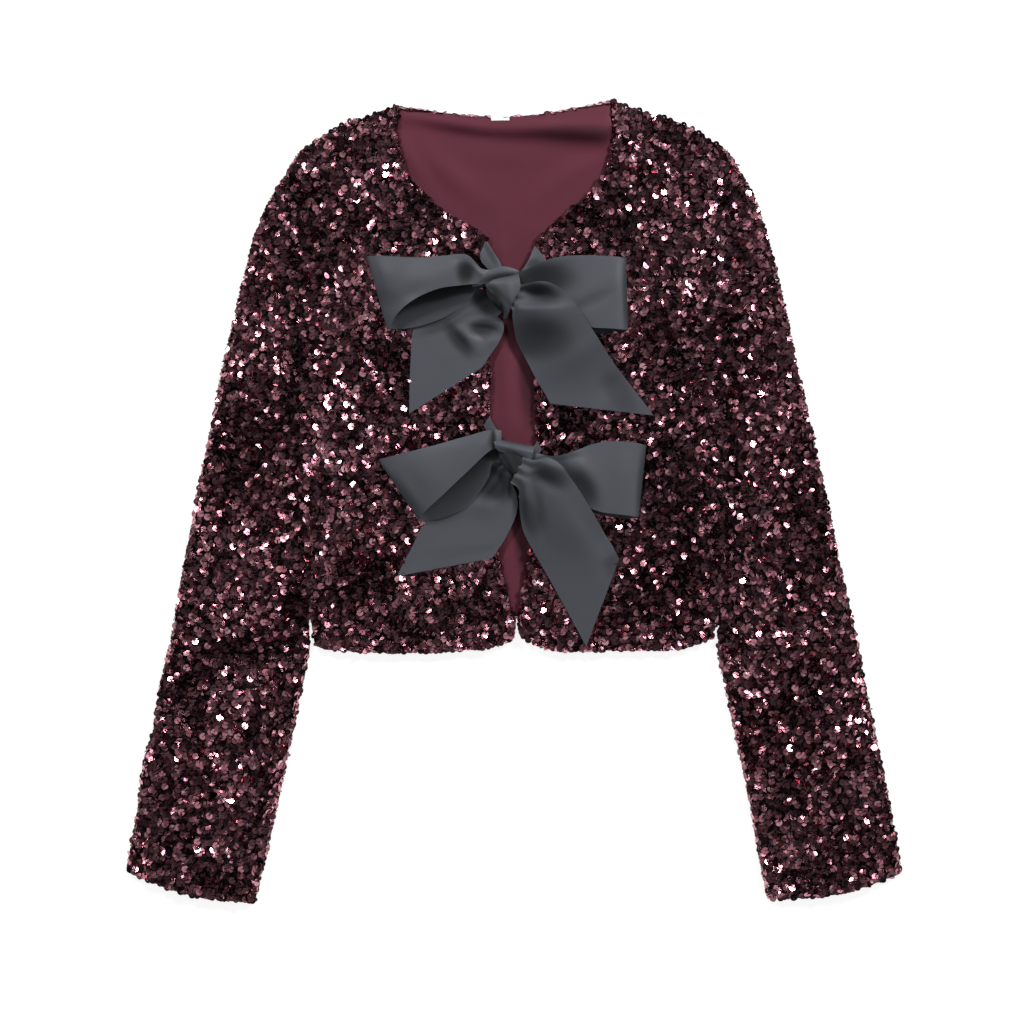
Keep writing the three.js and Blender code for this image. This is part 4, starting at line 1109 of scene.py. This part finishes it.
def sewFront(hand):
    draw = np.random.default_rng(11)
    edge = edges[hand]
    side = -1 if hand == "left" else 1
    low, high = sorted((side * -8, side * 192))
    places, facings = topSequins(frontTrees[hand], [], ribbonTrees, (low, -138), (high, 354), draw)
    legs = [([(edge["hem"], 1)], 1), ([(edge["front"], 1)], 1), ([(edge["neck"], 1)], 1)]
    for outline, turn in legs:
        points, out = panelEdge(outline, 160, lambda x, y: frontLow(edge, x, y), turn)
        if outline[0][0] is edge["front"]:
            out[:, :] = (-side, 0)
        if outline[0][0] is edge["neck"]:
            middle = np.array([-5, 330])
            out = middle - points[:, :2]
            out /= np.linalg.norm(out, axis=1)[:, None]
        if outline[0][0] is edge["hem"]:
            out[:, :] = (0, -1)
        for lift, tilt, back in ((0.9, 62, 0.0), (1.9, 34, 1.2)):
            row = points.copy()
            row[:, 2] += lift
            row[:, :2] -= out * back
            more, faces = rimSequins(row, out, tilt, draw)
            places += more
            facings += faces
    sequinMesh(f"sequins_front_{hand}", places, facings, tonesOf(places, draw), draw)


def sewSleeve(hand):
    draw = np.random.default_rng(23)
    rows = sleeveRowsOf[hand]
    side = -1 if hand == "left" else 1
    low, high = sorted((side * 132, side * 342))
    t = np.linspace(0, 1, 300)
    outLine, inLine = curveAt([r[:2] for r in rows], t), curveAt([r[2:] for r in rows], t)
    away = outLine - inLine
    away /= np.linalg.norm(away, axis=1)[:, None]
    shown = inLine[:, 1] < -112
    cuffShare = np.linspace(0, 1, 60)[:, None]
    cuff = outLine[-1] + (inLine[-1] - outLine[-1]) * cuffShare
    down2 = np.array([away[-1][1], -away[-1][0]]) * (1 if hand == "left" else -1)
    down2 = down2 if down2[1] < 0 else -down2
    cuff = cuff + down2 * (sleeveSettings["cuffBow"] * np.sin(math.pi * cuffShare))
    rims = [(outLine, away), (inLine[shown], -away[shown]), (cuff, np.repeat(down2[None], len(cuff), 0))]
    rimPlaces, rimFacings = [], []
    for line, out in rims:
        for high_, tilt, back in ((2.4, 58, 0.3), (3.6, 32, 1.6)):
            row = np.column_stack([line - out * back, np.full(len(line), high_)])
            more, faces = rimSequins(row, out, tilt, draw)
            rimPlaces += more
            rimFacings += faces
    for part, lowY, highY in (("high", 0, 316), ("low", -358, 0)):
        places, facings = topSequins(sleeveTrees[hand], [frontTrees[hand]], [], (low, lowY), (high, highY), draw)
        for spot, facing in zip(rimPlaces, rimFacings):
            if lowY <= spot[1] < highY:
                places.append(spot)
                facings.append(facing)
        sequinMesh(f"sequins_sleeve_{hand}_{part}", places, facings, tonesOf(places, draw), draw)


def sewBackEdges():
    draw = np.random.default_rng(31)
    places, facings = [], []
    neck = evenAt(backNeck, np.linspace(0, 1, 200))
    hem = evenAt(backHem, np.linspace(0, 1, 240))
    for line, out, rows in ((neck, (0, 1), ((0.9, 66, 0.8),)), (hem, (0, -1), ((1.2, 60, 0.0), (2.3, 30, 1.4)))):
        away = np.repeat(np.array([out], float), len(line), 0)
        for high_, tilt, back in rows:
            row = np.column_stack([line - away * back, rise(line[:, 0], line[:, 1]) + high_])
            more, faces = rimSequins(row, away, tilt, draw)
            places += more
            facings += faces
    sequinMesh("sequins_back_edges", places, facings, tonesOf(places, draw), draw)


for hand in ("left", "right"):
    sewFront(hand)
    sewSleeve(hand)
sewBackEdges()
print("jacket: sequins sewn on")

# Floor, light and camera
studio = {
    "lens": 100, "sensor": 36, "away": 2.489, "lookX": -0.00175, "lookY": -0.0105,
    "world": 0.06, "floorGlow": 0.85, "floorTone": 0.3,
    # x, y, z, size, watts
    "softboxes": [(1.5, 1.35, 1.3, 0.42, 47), (-1.3, 1.6, 1.4, 0.34, 31), (1.2, -1.4, 1.5, 0.22, 5),
                  (-1.35, -1.2, 1.5, 0.22, 5), (0.0, 0.3, 3.3, 2.0, 7),
                  (-1.9, 0.7, 1.9, 1.0, 1.2), (1.8, 0.2, 1.9, 1.0, 1.0)],
}


def makeStudio():
    s = studio
    bm = bmesh.new()
    bmesh.ops.create_grid(bm, x_segments=1, y_segments=1, size=3)
    mesh = bpy.data.meshes.new("floor")
    bm.to_mesh(mesh)
    bm.free()
    floor = bpy.data.objects.new("floor", mesh)
    bpy.context.collection.objects.link(floor)
    material, _, _ = newMaterial("paleFloor", {
        "Base Color": (s["floorTone"], s["floorTone"], s["floorTone"], 1), "Roughness": 0.9, "Specular IOR Level": 0.1,
        "Emission Color": (1, 1, 1, 1), "Emission Strength": s["floorGlow"]})
    mesh.materials.append(material)
    world = bpy.data.worlds.new("studio")
    world.use_nodes = True
    world.node_tree.nodes["Background"].inputs["Color"].default_value = (1, 1, 1, 1)
    world.node_tree.nodes["Background"].inputs["Strength"].default_value = s["world"]
    bpy.context.scene.world = world
    for i, (x, y, z, size, watts) in enumerate(s["softboxes"]):
        lamp = bpy.data.lights.new(f"softbox{i}", "AREA")
        lamp.size = size
        lamp.energy = watts
        holder = bpy.data.objects.new(f"softbox{i}", lamp)
        holder.location = (x, y, z)
        holder.rotation_euler = (-Vector((x, y, z))).to_track_quat("-Z", "Y").to_euler()
        bpy.context.collection.objects.link(holder)
    lens = bpy.data.cameras.new("camera")
    lens.lens = s["lens"]
    lens.sensor_width = s["sensor"]
    camera = bpy.data.objects.new("camera", lens)
    camera.location = (s["lookX"], s["lookY"], s["away"])
    bpy.context.collection.objects.link(camera)
    bpy.context.scene.camera = camera
    bpy.context.scene.view_settings.view_transform = "Standard"


makeStudio()

print("jacket: done")
